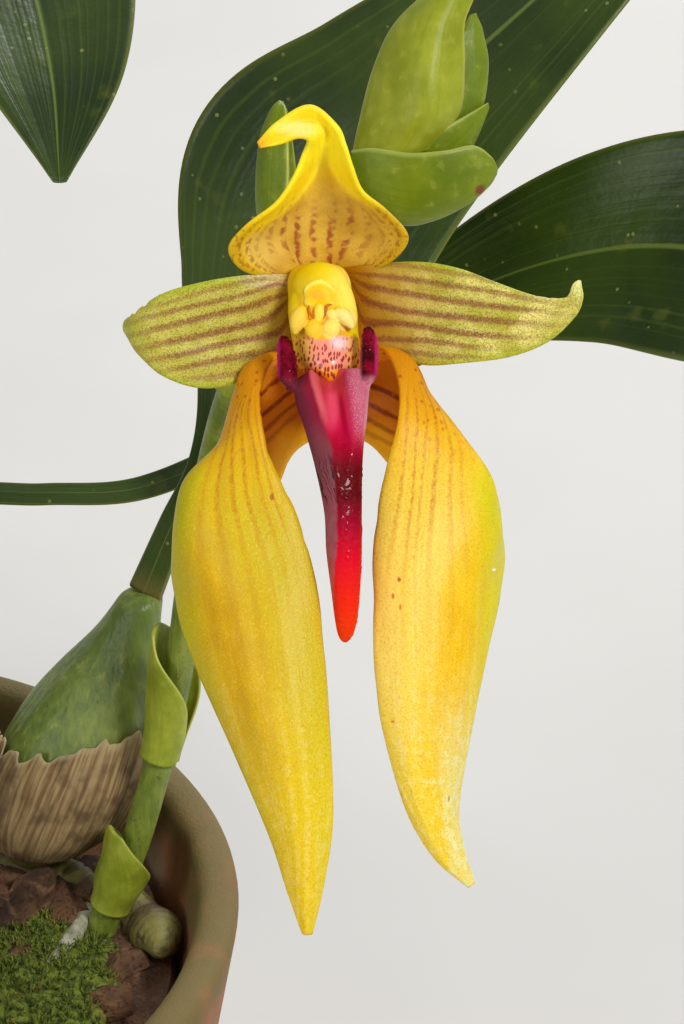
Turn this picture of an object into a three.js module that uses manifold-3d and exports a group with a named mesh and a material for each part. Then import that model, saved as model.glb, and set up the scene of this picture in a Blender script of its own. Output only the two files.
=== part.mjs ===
// A potted orchid of the warty-lipped kind: a creeping stem with one-leaved pseudobulbs in a clay
// pot, and a flower stalk that leans out over the rim and carries bracts and one open flower.
// Millimetres, +Z up, origin on the floor under the middle of the pot. The flower looks towards -Y
// and a little up. "Left" and "right" are those of someone who looks the flower in the face.
import * as THREE from "three";
import { mergeVertices } from "three/addons/utils/BufferGeometryUtils.js";
import Module from "manifold-3d";

const wasm = await Module();
wasm.setup();

// Driving dimensions

const GAP = 0.3; // clearance between pieces that touch

const POT_HEIGHT = 105;
const POT_RIM_RADIUS = 61.5;
const POT_FOOT_RADIUS = 44.5;
const POT_WALL = 5.5;
const POT_FLOOR = 7;
const COLLAR_HEIGHT = 21; // the thicker band under the rim
const COLLAR_STEP = 3;
const DRAIN_HOLES = 4;
const DRAIN_RADIUS = 4.5;
const DRAIN_CIRCLE = 24;

const SOIL_LEVEL = 93;
const CHIP_COUNT = 20;

const LEAF_THICKNESS = 1.2;
const PETIOLE_THICKNESS = 2.4;
const PETAL_THICKNESS = 0.7;
const BRACT_THICKNESS = 0.7;

const FLOWER_CENTRE = [73, -72, 227]; // the middle of the column
const FLOWER_TILT = 30; // degrees that the flower looks up

// Colours from the photograph

const COLOURS = {
  clay: 0x8a5a3c,
  bark: 0x4a3423,
  moss: 0x6f7a35,
  rhizome: 0x7c7a45,
  pseudobulb: 0x76863a,
  husk: 0x8c7350,
  leaf: 0x4b6b22,
  scape: 0x7f8b35,
  bract: 0x8c9a2c,
  bud: 0xc9c04a,
  pedicel: 0xb9b53c,
  column: 0xf2cd35,
  anther: 0xf8dc66,
  lip: 0xa01530,
  dorsal: 0xe2b636,
  petal: 0xb8ac4e,
  sepal: 0xe6b922,
};

// Small helpers

const radians = THREE.MathUtils.degToRad;
const lerp = THREE.MathUtils.lerp;
const vector = ([x, y, z]) => new THREE.Vector3(x, y, z);
const smooth = (t) => t * t * (3 - 2 * t);

// A repeatable random number from 0 to 1.
function dice(seed) {
  let state = seed;
  return () => {
    state = (state * 1103515245 + 12345) % 2147483648;
    return state / 2147483648;
  };
}

// A smooth curve through hand-placed points.
function through(points) {
  return new THREE.CatmullRomCurve3(points.map(vector), false, "catmullrom", 0.5);
}

// A number that runs through a short list of values as t goes from 0 to 1.
function along(values, t) {
  const place = Math.min(Math.max(t, 0), 1) * (values.length - 1);
  const i = Math.min(Math.floor(place), values.length - 2);
  return lerp(values[i], values[i + 1], smooth(place - i));
}

// Closed meshes

// Makes a geometry from points and triangles, with its faces turned outwards.
function closed(points, triangles) {
  let volume = 0;
  for (const [a, b, c] of triangles)
    volume += points[a].dot(points[b].clone().cross(points[c]));
  const index = triangles.flatMap(([a, b, c]) => (volume < 0 ? [a, c, b] : [a, b, c]));
  const geometry = new THREE.BufferGeometry().setFromPoints(points);
  geometry.setIndex(index);
  return geometry;
}

// A sheet of some thickness over a surface (s, v), with s from 0 to 1 and v from -1 to 1. Both
// faces are split into the same triangles. grow makes it larger on every side.
function blade(surface, { rows, columns, thickness, grow = 0 }) {
  const front = [];
  const back = [];
  const step = 1e-3;
  const at = (i, j) => i * (columns + 1) + j;
  for (let i = 0; i <= rows; i++)
    for (let j = 0; j <= columns; j++) {
      const s = i / rows;
      const v = (2 * j) / columns - 1;
      const p = surface(s, v);
      const s1 = Math.min(s + step, 1);
      const v1 = Math.min(v + step, 1);
      const ds = surface(s1, v).sub(surface(s1 - step, v)).normalize();
      const dv = surface(s, v1).sub(surface(s, v1 - step)).normalize();
      const normal = ds.clone().cross(dv).normalize();
      if (j === 0) p.addScaledVector(dv, -grow);
      if (j === columns) p.addScaledVector(dv, grow);
      if (i === 0) p.addScaledVector(ds, -grow);
      if (i === rows) p.addScaledVector(ds, grow);
      const half = thickness(s) / 2 + grow;
      front.push(p.clone().addScaledVector(normal, half));
      back.push(p.clone().addScaledVector(normal, -half));
    }
  const other = front.length;
  const triangles = [];
  for (let i = 0; i < rows; i++)
    for (let j = 0; j < columns; j++) {
      const [a, b, c, d] = [at(i, j), at(i + 1, j), at(i + 1, j + 1), at(i, j + 1)];
      triangles.push([a, b, c], [a, c, d]);
      triangles.push([a + other, c + other, b + other], [a + other, d + other, c + other]);
    }
  const rim = [];
  for (let i = 0; i < rows; i++) rim.push(at(i, 0));
  for (let j = 0; j < columns; j++) rim.push(at(rows, j));
  for (let i = rows; i > 0; i--) rim.push(at(i, columns));
  for (let j = columns; j > 0; j--) rim.push(at(0, j));
  rim.forEach((a, k) => {
    const b = rim[(k + 1) % rim.length];
    triangles.push([b, a, a + other], [b, a + other, b + other]);
  });
  return closed([...front, ...back], triangles);
}

// Skins a stack of rings with the same number of points, and closes both ends.
function loft(rings) {
  const count = rings[0].length;
  const points = rings.flat();
  const triangles = [];
  for (let i = 0; i < rings.length - 1; i++)
    for (let j = 0; j < count; j++) {
      const k = (j + 1) % count;
      const [a, b] = [i * count + j, i * count + k];
      triangles.push([a, a + count, b + count], [a, b + count, b]);
    }
  const cap = (ring, offset, turned) => {
    const middle = new THREE.Vector3();
    ring.forEach((p) => middle.addScaledVector(p, 1 / count));
    points.push(middle);
    const centre = points.length - 1;
    for (let j = 0; j < count; j++) {
      const k = (j + 1) % count;
      triangles.push(turned ? [centre, offset + k, offset + j] : [centre, offset + j, offset + k]);
    }
  };
  cap(rings[0], 0, false);
  cap(rings[rings.length - 1], (rings.length - 1) * count, true);
  return closed(points, triangles);
}

// A round stem along a curve. radius(t, angle) is its radius, and grow makes it larger all over.
function stem(curve, radius, { rows, sides, grow = 0, upright = false }) {
  const frames = curve.computeFrenetFrames(rows, false);
  const rings = [];
  for (let i = 0; i <= rows; i++) {
    const t = i / rows;
    const middle = curve.getPoint(t);
    if (i === 0) middle.addScaledVector(curve.getTangent(0), -grow);
    if (i === rows) middle.addScaledVector(curve.getTangent(1), grow);
    const across = upright ? new THREE.Vector3(1, 0, 0) : frames.normals[i];
    const aside = upright ? new THREE.Vector3(0, 1, 0) : frames.binormals[i];
    const ring = [];
    for (let j = 0; j < sides; j++) {
      const angle = (2 * Math.PI * j) / sides;
      const r = radius(t, angle) + grow;
      ring.push(
        middle
          .clone()
          .addScaledVector(across, r * Math.cos(angle))
          .addScaledVector(aside, r * Math.sin(angle)),
      );
    }
    rings.push(ring);
  }
  return loft(rings);
}

// A body of flat sections stacked along Y. Each row is [y, middle x, half width, middle z, half depth].
function stacked(rows, sides, grow = 0) {
  return loft(
    rows.map(([y, x, width, z, depth], i) => {
      const end = i === 0 ? grow : i === rows.length - 1 ? -grow : 0;
      const ring = [];
      for (let j = 0; j < sides; j++) {
        const angle = (2 * Math.PI * j) / sides;
        ring.push(
          new THREE.Vector3(
            x + (width + grow) * Math.cos(angle),
            y + end,
            z + (depth + grow) * Math.sin(angle),
          ),
        );
      }
      return ring;
    }),
  );
}

// An egg shape with its middle and its three half sizes.
function egg(middle, [a, b, c], sides = 8, turn = 0) {
  return new THREE.SphereGeometry(1, sides, Math.ceil(sides / 2) + 1)
    .scale(a, b, c)
    .rotateZ(radians(turn))
    .translate(...middle);
}

// The surface over three or five hand-placed rails: each station lists one point for every rail.
function sheet(stations) {
  const rails = stations[0].map((_, k) => through(stations.map((station) => station[k])));
  return (s, v) => {
    const points = rails.map((rail) => rail.getPoint(s));
    if (points.length > 3)
      return new THREE.CatmullRomCurve3(points, false, "catmullrom", 0.5).getPoint((v + 1) / 2);
    const [a, m, b] = points;
    const tilt = b.clone().sub(a).multiplyScalar(v / 2);
    const bulge = a.clone().add(b).multiplyScalar(0.5).sub(m).multiplyScalar(v * v);
    return m.clone().add(tilt).add(bulge);
  };
}

// Joining and cutting

function solid(geometry) {
  const bare = geometry.index ? geometry.toNonIndexed() : geometry.clone();
  bare.deleteAttribute("normal");
  bare.deleteAttribute("uv");
  const merged = mergeVertices(bare, 1e-4);
  return new wasm.Manifold(
    new wasm.Mesh({
      numProp: 3,
      vertProperties: merged.getAttribute("position").array,
      triVerts: new Uint32Array(merged.index.array),
    }),
  );
}

function geometryOf(manifold) {
  const mesh = manifold.getMesh();
  const geometry = new THREE.BufferGeometry();
  geometry.setAttribute("position", new THREE.BufferAttribute(mesh.vertProperties, 3));
  geometry.setIndex(new THREE.BufferAttribute(mesh.triVerts, 1));
  return geometry;
}

function join(...geometries) {
  return geometryOf(geometries.map(solid).reduce((all, next) => all.add(next)));
}

// Cuts the tools out of a piece and keeps its largest body, so that no scrap is left.
function carve(geometry, ...tools) {
  const cut = tools.map(solid).reduce((left, tool) => left.subtract(tool), solid(geometry));
  const bodies = cut.decompose().sort((a, b) => b.volume() - a.volume());
  return geometryOf(bodies[0]);
}

// Scene

const plant = new THREE.Group();
const flower = new THREE.Group();
flower.position.set(...FLOWER_CENTRE);
flower.rotation.x = radians(90 - FLOWER_TILT);
flower.updateMatrixWorld(true);
plant.add(flower);

function add(group, name, colour, geometry, roughness = 0.6) {
  const material = new THREE.MeshStandardMaterial({
    color: COLOURS[colour],
    roughness,
    metalness: 0,
    side: THREE.DoubleSide,
  });
  const mesh = new THREE.Mesh(geometry, material);
  mesh.name = name;
  group.add(mesh);
  return geometry;
}

// Flower frame to plant frame, for pieces that reach from the pot to the flower.
const fromFlower = (point) => vector(point).applyMatrix4(flower.matrixWorld);
const toFlower = (geometry) =>
  geometry.clone().applyMatrix4(flower.matrixWorld.clone().invert());

// Pot

const innerRadius = (z) => lerp(POT_FOOT_RADIUS - POT_WALL, POT_RIM_RADIUS - POT_WALL, z / POT_HEIGHT);

function potGeometry() {
  const collar = POT_HEIGHT - COLLAR_HEIGHT;
  const wall = (z) => innerRadius(z) + POT_WALL - COLLAR_STEP;
  const profile = [
    [0, 0],
    [POT_FOOT_RADIUS - COLLAR_STEP - 1, 0],
    [POT_FOOT_RADIUS - COLLAR_STEP + 0.5, 1.5],
    [wall(collar), collar],
    [innerRadius(collar) + POT_WALL - 1, collar + 0.6],
    [innerRadius(collar) + POT_WALL, collar + 2],
    [POT_RIM_RADIUS, POT_HEIGHT - 1.5],
    [POT_RIM_RADIUS - 1.5, POT_HEIGHT],
    [POT_RIM_RADIUS - POT_WALL + 1.5, POT_HEIGHT],
    [POT_RIM_RADIUS - POT_WALL, POT_HEIGHT - 1.5],
    [innerRadius(POT_FLOOR + 3), POT_FLOOR + 3],
    [innerRadius(POT_FLOOR + 3) - 3, POT_FLOOR],
    [0, POT_FLOOR],
  ].map(([r, z]) => new THREE.Vector2(r, z));
  const body = new THREE.LatheGeometry(profile, 40).rotateX(Math.PI / 2);
  const drains = [];
  for (let k = 0; k < DRAIN_HOLES; k++) {
    const angle = (2 * Math.PI * (k + 0.5)) / DRAIN_HOLES;
    drains.push(
      new THREE.CylinderGeometry(DRAIN_RADIUS, DRAIN_RADIUS, POT_FLOOR + 4, 12)
        .rotateX(Math.PI / 2)
        .translate(DRAIN_CIRCLE * Math.cos(angle), DRAIN_CIRCLE * Math.sin(angle), POT_FLOOR / 2),
    );
  }
  return carve(body, ...drains);
}

add(plant, "pot", "clay", potGeometry(), 0.8);

// Pseudobulbs. Each row is the foot, the top, and the widest radius.

const BULBS = [
  { foot: [-26, -30, 97.6], top: [-32, -35, 132], radius: 9.8 },
  { foot: [-36, -7, 97.6], top: [-43, -5, 137], radius: 10.4 },
  { foot: [-20, 16, 97.6], top: [-22, 24, 139], radius: 10.6 },
  { foot: [10, 29, 97.6], top: [18, 36, 139], radius: 10.6 },
  { foot: [33, 21, 97.6], top: [48.5, 26, 136.5], radius: 10.8 },
];
const BULB_PROFILE = [0.36, 0.86, 1, 0.94, 0.72, 0.42, 0.24];
const BULB_RIBS = 5;

function bulbRadius(bulb) {
  return (t, angle) =>
    bulb.radius *
    along(BULB_PROFILE, t) *
    (1 + 0.05 * Math.sin(Math.PI * t) * Math.cos(BULB_RIBS * angle));
}

function bulbGeometry(bulb, grow = 0) {
  const axis = new THREE.LineCurve3(vector(bulb.foot), vector(bulb.top));
  return stem(axis, bulbRadius(bulb), { rows: 9, sides: 15, grow, upright: true });
}

BULBS.forEach((bulb, k) =>
  add(plant, "pseudobulb_" + (k + 1), "pseudobulb", bulbGeometry(bulb), 0.45),
);

// Dry husks, the old papery sheaths that hug some pseudobulbs. Each wraps part of the way round.

const HUSKS = [
  { bulb: 1, from: 0.08, to: 0.62, middle: 200, wrap: 235 },
  { bulb: 3, from: 0.08, to: 0.5, middle: 250, wrap: 250 },
  { bulb: 4, from: 0.08, to: 0.56, middle: 285, wrap: 250 },
];

function huskSurface(husk) {
  const bulb = BULBS[husk.bulb];
  const axis = new THREE.LineCurve3(vector(bulb.foot), vector(bulb.top));
  const radius = bulbRadius(bulb);
  return (s, v) => {
    const shoulder = 1 - 0.45 * v * v;
    const t = husk.from + (husk.to - husk.from) * s * shoulder;
    const angle = radians(husk.middle + (v * husk.wrap) / 2);
    const r = radius(t, angle) + GAP + 0.55 + 0.5 * s;
    return axis
      .getPoint(t)
      .add(new THREE.Vector3(r * Math.cos(angle), r * Math.sin(angle), 0));
  };
}

const huskGeometry = (husk, grow = 0) =>
  blade(huskSurface(husk), { rows: 5, columns: 14, thickness: () => 0.6, grow });

HUSKS.forEach((husk, k) =>
  add(
    plant,
    "husk_" + (k + 1),
    "husk",
    carve(huskGeometry(husk), bulbGeometry(BULBS[husk.bulb], GAP)),
    0.9,
  ),
);

// Rhizome, the creeping stem that all the pseudobulbs stand on, with its roots

const RHIZOME_RADIUS = 3.5;
const RHIZOME = through([
  [-19, -40, 92],
  [-26, -30, 93.6],
  [-33, -19, 93.3],
  [-36, -7, 93.6],
  [-31, 7, 93.2],
  [-20, 16, 93.6],
  [-5, 23, 93.2],
  [10, 29, 93.6],
  [23, 27, 93.2],
  [33, 21, 93.6],
  [42, 16, 93.2],
  [49, 9, 93.6],
  [51, 1, 96],
]);

// Roots in polar form: where each leaves the rhizome, then [radius, angle in degrees, height].
const ROOTS = [
  [[33, 190, 93], [24, 205, 95.2], [15, 235, 95], [12, 280, 94], [14, 310, 88]],
  [[26, 135, 93], [14, 130, 95], [6, 60, 95.2], [14, 0, 94.6], [22, 340, 92], [26, 330, 86]],
  [[27, 70, 93], [15, 55, 95.4], [18, 10, 95], [30, 350, 94.6], [40, 338, 93], [46, 332, 87]],
  [[45, 228, 93], [51, 236, 97], [55, 241, 103], [58.6, 244, 107.4], [62.9, 247, 106], [64.2, 249, 97], [63.6, 251, 84]],
  [[45, 24, 93], [40, 10, 95], [36, 350, 95], [40, 325, 94], [44, 300, 88]],
  [[37, 172, 93], [46, 170, 95.5], [51.5, 164, 99], [55.5, 158, 104.6], [59, 153, 107.4], [62.9, 149, 105.4], [63.6, 145, 92]],
];
const ROOT_RADIUS = 1.25;

const polar = ([r, degrees, z]) => [
  r * Math.cos(radians(degrees)),
  r * Math.sin(radians(degrees)),
  z,
];

function rhizomeGeometry(grow = 0) {
  const knotted = (t) =>
    RHIZOME_RADIUS * (1 + 0.1 * Math.sin(26 * Math.PI * t)) * (t > 0.92 ? lerp(1, 0.45, (t - 0.92) / 0.08) : 1);
  const main = stem(RHIZOME, knotted, { rows: 32, sides: 7, grow });
  const roots = ROOTS.map((root) => {
    const curve = through(root.map(polar));
    const radius = (t) => ROOT_RADIUS * (t > 0.85 ? lerp(1, 0.5, (t - 0.85) / 0.15) : 1);
    return stem(curve, radius, { rows: 2 * root.length, sides: 5, grow });
  });
  return join(main, ...roots);
}

// The pot's wall, a little thicker, to keep roots off it.
function potWall(grow) {
  const profile = [
    [innerRadius(POT_FLOOR) - grow, POT_FLOOR],
    [POT_RIM_RADIUS + grow, POT_FLOOR],
    [POT_RIM_RADIUS + grow, POT_HEIGHT - 1],
    [POT_RIM_RADIUS - 1, POT_HEIGHT + grow],
    [POT_RIM_RADIUS - POT_WALL + 1, POT_HEIGHT + grow],
    [POT_RIM_RADIUS - POT_WALL - grow, POT_HEIGHT - 1],
    [innerRadius(POT_FLOOR) - grow, POT_FLOOR],
  ].map(([r, z]) => new THREE.Vector2(r, z));
  return new THREE.LatheGeometry(profile, 40).rotateX(Math.PI / 2);
}

// Flower stalk: the lower points stand in the plant's frame, the upper ones in the flower's.

const STALK_RADIUS = 1.9;
const STALK_BASE = [
  [41.5, 9, 90],
  [43.4, 8.6, 97],
  [48, 8.8, 110],
  [52.9, 10.2, 130],
  [55.6, 8, 150],
  [58.6, 0, 170],
  [62, -12, 188],
  [66, -26, 203],
  [70, -38.5, 215],
];
const STALK_HEAD = [
  [0.4, 9.6, -19.6],
  [4.4, 16.4, -17.6],
  [8.6, 22, -16.4],
  [10.4, 26, -15.8],
];
const STALK = through([...STALK_BASE, ...STALK_HEAD.map((p) => fromFlower(p).toArray())]);

function stalkGeometry(grow = 0) {
  const radius = (t) => STALK_RADIUS * lerp(1.1, 0.62, t);
  return stem(STALK, radius, { rows: 34, sides: 8, grow });
}

add(plant, "scape", "scape", stalkGeometry(), 0.5);

// Sheaths that clasp the stalk: rolled at the foot, open and pointed at the top.

const STALK_SHEATHS = [
  { from: 0.09, to: 0.165, flare: 2, middle: 300 },
  { from: 0.2125, to: 0.2875, flare: 2.2, middle: 250 },
  { from: 0.5, to: 0.6, flare: 2, middle: 20 },
];

function sheathSurface({ from, to, flare, middle }) {
  const rows = 200;
  const frames = STALK.computeFrenetFrames(rows, false);
  return (s, v) => {
    const t = lerp(from, to, s);
    const k = Math.round(t * rows);
    const open = 1 - 0.86 * s ** 2.4;
    const angle = radians(middle) + v * Math.PI * 0.94 * open;
    const r = STALK_RADIUS + GAP + 0.5 + flare * smooth(s) * (1 - 0.35 * s);
    return STALK.getPoint(t)
      .addScaledVector(frames.normals[k], r * Math.cos(angle))
      .addScaledVector(frames.binormals[k], r * Math.sin(angle));
  };
}

const sheathGeometry = (sheath, grow = 0) =>
  blade(sheathSurface(sheath), { rows: 8, columns: 10, thickness: () => 0.6, grow });

STALK_SHEATHS.forEach((sheath, k) =>
  add(plant, "stalk_sheath_" + (k + 1), "bract", carve(sheathGeometry(sheath), stalkGeometry(GAP))),
);

add(
  plant,
  "rhizome",
  "rhizome",
  carve(
    rhizomeGeometry(),
    ...BULBS.map((bulb) => bulbGeometry(bulb, GAP)),
    stalkGeometry(GAP),
    potWall(GAP),
  ),
  0.7,
);

// Leaves. Each row is one station from the top of the pseudobulb to the leaf's tip: [x, y, z, half
// width]. face lists the directions that the upper side looks in, from the foot to the tip.

const LEAVES = [
  {
    stations: [
      [-32.2, -35.2, 132.6, 2],
      [-36, -40, 142, 1.9],
      [-43, -48, 156, 5],
      [-56, -62, 177, 13],
      [-72, -78, 197, 16],
      [-88, -93, 208, 15.4],
      [-103, -107, 207, 12.6],
      [-113, -117, 197, 7.4],
      [-118, -122, 187, 0.8],
    ],
    face: [[0.6, 0.5, 0.3], [0.2, 0.3, 0.9], [-0.5, -0.5, 0.6]],
    wave: 1.2,
  },
  {
    stations: [
      [-43.1, -5, 137.6, 2.2],
      [-48, -4, 147, 2],
      [-56, -2, 162, 6],
      [-73, 1, 189, 15],
      [-93, 5, 211, 18],
      [-114, 10, 223, 17.6],
      [-134, 15, 223, 14.6],
      [-147, 18, 214, 8.4],
      [-154, 20, 203, 0.8],
    ],
    face: [[0.8, 0, 0.3], [0.4, 0.1, 0.9], [-0.6, 0.1, 0.7]],
    wave: 1.5,
  },
  {
    stations: [
      [-22.1, 24.2, 139.6, 2.2],
      [-22, 27, 150, 2],
      [-19, 32, 168, 5],
      [-9, 39, 196, 13],
      [4, 41, 219, 15.6],
      [19, 35, 233, 15.4],
      [31, 21, 237, 14.4],
      [38, 4, 234, 12.6],
      [42, -14, 228, 8.6],
      [43.5, -27, 221, 0.8],
    ],
    face: [[-0.6, 0.8, 0.2], [-0.5, 0.8, 0.3], [-0.2, 0.3, 0.9], [0.1, -0.3, 1]],
    wave: 0.9,
  },
  {
    stations: [
      [18.3, 36.2, 139.6, 2],
      [24, 37.5, 144, 1.6],
      [35, 35.5, 145.5, 1.5],
      [48, 34.5, 147, 1.6],
      [62, 36.5, 153, 1.9],
      [77, 37.5, 164, 3.4],
      [91, 33, 177, 7.4],
      [107, 25.6, 186.5, 12],
      [121, 17.5, 190.5, 15.2],
      [138, 8, 190.5, 14.8],
      [156, -2, 186, 11.2],
      [174, -13, 176, 0.8],
    ],
    face: [[0.1, -0.6, 0.8], [0.1, -0.75, 0.65], [0.1, -0.8, 0.6]],
    wave: 0.7,
  },
  {
    stations: [
      [48.7, 26.1, 137.1, 2.3],
      [52.6, 26.6, 146, 2],
      [57, 24.6, 156, 2.4],
      [60.6, 23.2, 166.8, 4.8],
      [64.6, 23.2, 179.6, 11.6],
      [71.6, 24.2, 193.5, 18.2],
      [82.6, 26.3, 204.8, 15.2],
      [99.2, 31, 219, 10.6],
      [113, 38, 229.6, 6.8],
      [126, 47.6, 238, 0.8],
    ],
    face: [[-0.2, -0.9, 0.4], [-0.3, -0.8, 0.5], [-0.4, -0.7, 0.6]],
    wave: 1.4,
  },
];
const LEAF_CHANNEL = 0.2; // how far the margins stand above the midrib, as a share of the half width

function leafSurface({ stations, face, wave }) {
  const curve = through(stations);
  const widths = through(stations.map((station) => [station[3], 0, 0]));
  const faces = through(face);
  return (s, v) => {
    const tangent = curve.getTangent(s);
    const side = tangent.clone().cross(faces.getPoint(s)).normalize();
    const normal = side.clone().cross(tangent).normalize();
    const half = widths.getPoint(s).x;
    const open = smooth(Math.min(Math.max((s - 0.25) / 0.2, 0), 1));
    const ripple = wave * open * (1 - s) * v * v * v * Math.sin(17 * s + 1);
    const lift = LEAF_CHANNEL * half * v * v + ripple;
    return curve
      .getPoint(s)
      .addScaledVector(side, half * v)
      .addScaledVector(normal, lift);
  };
}

function leafGeometry(leaf, grow = 0) {
  const thickness = (s) => lerp(PETIOLE_THICKNESS, LEAF_THICKNESS, smooth(Math.min(s / 0.3, 1)));
  return blade(leafSurface(leaf), { rows: 20, columns: 6, thickness, grow });
}

LEAVES.forEach((leaf, k) =>
  add(plant, "leaf_" + (k + 1), "leaf", carve(leafGeometry(leaf), bulbGeometry(BULBS[k], GAP)), 0.4),
);

// Moss cushions. Each lies along an arc of the pot: its middle, its half sizes and its height.

const MOSS = [
  { radius: 30, angle: 320, deep: 19, wide: 62, height: 4.2, seed: 3 },
  { radius: 36, angle: 232, deep: 12.5, wide: 17, height: 3.6, seed: 8 },
  { radius: 44, angle: 100, deep: 7.5, wide: 34, height: 3.2, seed: 5 },
];

function mossGeometry(cushion, grow = 0) {
  const level = SOIL_LEVEL + 0.5;
  const rings = [];
  const sides = 24;
  const shares = [0.7, 1, 0.95, 0.8, 0.58, 0.34, 0.12];
  shares.forEach((share, i) => {
    const ring = [];
    for (let j = 0; j < sides; j++) {
      const turn = (2 * Math.PI * j) / sides;
      const edge = 1 + 0.07 * Math.sin(5 * turn + cushion.seed) + 0.05 * Math.sin(11 * turn);
      const r = cushion.radius + (cushion.deep * edge * share + grow) * Math.cos(turn);
      const swing = cushion.wide * edge * share + THREE.MathUtils.radToDeg(grow / cushion.radius);
      const degrees = cushion.angle + swing * Math.sin(turn);
      const [x, y] = polar([Math.min(r, innerRadius(SOIL_LEVEL) - 1.2 + grow), degrees, 0]);
      const tuft = 0.7 * Math.sin(0.9 * x + cushion.seed) * Math.sin(0.8 * y + 2 * cushion.seed);
      const dome = level + cushion.height * (1 - share ** 3) + tuft * (share < 0.9 ? 1 : 0.2);
      ring.push(new THREE.Vector3(x, y, [level - 3 - grow, dome][i] ?? dome + grow));
    }
    rings.push(ring);
  });
  return loft(rings);
}

const standing = [
  rhizomeGeometry(GAP),
  stalkGeometry(GAP),
  ...BULBS.map((bulb) => bulbGeometry(bulb, GAP)),
];

MOSS.forEach((cushion, k) =>
  add(plant, "moss_" + (k + 1), "moss", carve(mossGeometry(cushion), ...standing), 1),
);

// Potting bark: fills the pot to below the rim, with loose chips sunk into its surface

function soilGeometry() {
  const sides = 28;
  const relief = (x, y) => 0.8 * Math.sin(0.31 * x + 0.5) * Math.sin(0.27 * y) + 0.5 * Math.sin(0.71 * x - 0.6 * y);
  const ring = (r, z) =>
    Array.from({ length: sides }, (_, j) => {
      const [x, y] = polar([r, (360 * j) / sides, 0]);
      return new THREE.Vector3(x, y, z === null ? SOIL_LEVEL + relief(x, y) : z);
    });
  const inside = (z) => innerRadius(z) - 1;
  const bottom = POT_FLOOR + GAP;
  const rings = [ring(inside(POT_FLOOR + 3) - 3.4, bottom), ring(inside(POT_FLOOR + 3), POT_FLOOR + 3.4)];
  rings.push(ring(inside(SOIL_LEVEL) - 0.2, SOIL_LEVEL - 4));
  for (const share of [0.985, 0.8, 0.6, 0.4, 0.18]) rings.push(ring(inside(SOIL_LEVEL) * share, null));
  return loft(rings);
}

function chipGeometries() {
  const random = dice(11);
  const chips = [];
  const most = innerRadius(SOIL_LEVEL) - 8.5;
  for (let k = 0; k < CHIP_COUNT; k++) {
    const r = most * Math.sqrt(random());
    const degrees = 137.5 * k + 20 * random();
    const size = [lerp(7, 14, random()), lerp(5, 9, random()), lerp(2.6, 4.4, random())];
    const chip = new THREE.BoxGeometry(...size);
    const corners = chip.getAttribute("position");
    for (let i = 0; i < corners.count; i++) {
      const taper = 1 - 0.22 * Math.abs(Math.sin(3 * k + corners.getX(i) + 2 * corners.getY(i)));
      corners.setXYZ(i, corners.getX(i) * taper, corners.getY(i) * taper, corners.getZ(i));
    }
    chip.rotateX(radians(lerp(-24, 24, random())));
    chip.rotateY(radians(lerp(-24, 24, random())));
    chip.rotateZ(radians(360 * random()));
    chips.push(chip.translate(...polar([r, degrees, SOIL_LEVEL + lerp(0, 1.4, random())])));
  }
  return chips;
}

add(
  plant,
  "potting_bark",
  "bark",
  carve(
    join(soilGeometry(), ...chipGeometries()),
    ...standing,
    ...MOSS.map((cushion) => mossGeometry(cushion, 2 * GAP)),
    potWall(GAP),
  ),
  0.95,
);

// Flower. Points from here on are in the flower's frame: X to the viewer's right, Y up, Z towards
// the viewer, origin in the middle of the column.

// Column with its foot. Each row is [y, middle x, half width, middle z, half depth].
const COLUMN = [
  [5.5, -0.1, 1.5, -1.2, 1.2],
  [4.7, -0.1, 2.6, -1.0, 2.6],
  [3.2, 0, 3.3, -0.6, 3.4],
  [1.2, 0, 3.6, -0.4, 3.7],
  [-0.8, 0.2, 3.5, -0.6, 3.8],
  [-2.5, 0.4, 3.2, -0.9, 3.9],
  [-4.0, 0.4, 2.7, -1.1, 3.9],
  [-5.3, 0.5, 1.8, -1.3, 3.8],
  [-6.3, 0.5, 1.1, -1.7, 3.6],
  [-7.2, 0.5, 1.2, -3.2, 2.2],
  [-9.4, 0.6, 1.1, -4.2, 1.4],
  [-11.8, 0.7, 0.8, -4.5, 0.9],
];

function columnGeometry(grow = 0) {
  const arms = [
    egg([-3.1, -0.2, 2.3], [1.0 + grow, 2.5 + grow, 1.3 + grow], 8, 8),
    egg([2.9, 0, 2.3], [1.0 + grow, 2.5 + grow, 1.3 + grow], 8, -12),
  ];
  const lobes = [
    egg([-1.0, -1.3, 2.9], [1.0 + grow, 1.25 + grow, 0.8 + grow]),
    egg([0.9, -1.3, 2.9], [1.0 + grow, 1.25 + grow, 0.8 + grow]),
  ];
  return join(stacked(COLUMN, 14, grow), ...arms, ...lobes);
}

add(flower, "column", "column", columnGeometry(), 0.35);

const ANTHER = { middle: [-0.1, 1.9, 4.4], size: [1.6, 1.7, 0.9] };
add(
  flower,
  "anther_cap",
  "anther",
  carve(egg(ANTHER.middle, ANTHER.size, 10), columnGeometry(GAP)),
  0.3,
);

// Ovary and pedicel, from the stalk to the back of the flower
const PEDICEL = through([
  [0.4, 8.6, -17.6],
  [0.2, 7.4, -15.2],
  [0, 4.6, -11.6],
  [0, 2.0, -8.4],
  [0, 0.6, -5.6],
]);
const pedicelGeometry = (grow = 0) =>
  stem(PEDICEL, (t) => along([1.1, 1.15, 1.5, 2.2, 2.9], t), { rows: 9, sides: 10, grow });
const stalkHere = (grow) => toFlower(stalkGeometry(grow));
add(flower, "pedicel", "pedicel", carve(pedicelGeometry(), columnGeometry(GAP), stalkHere(GAP)), 0.5);

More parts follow.
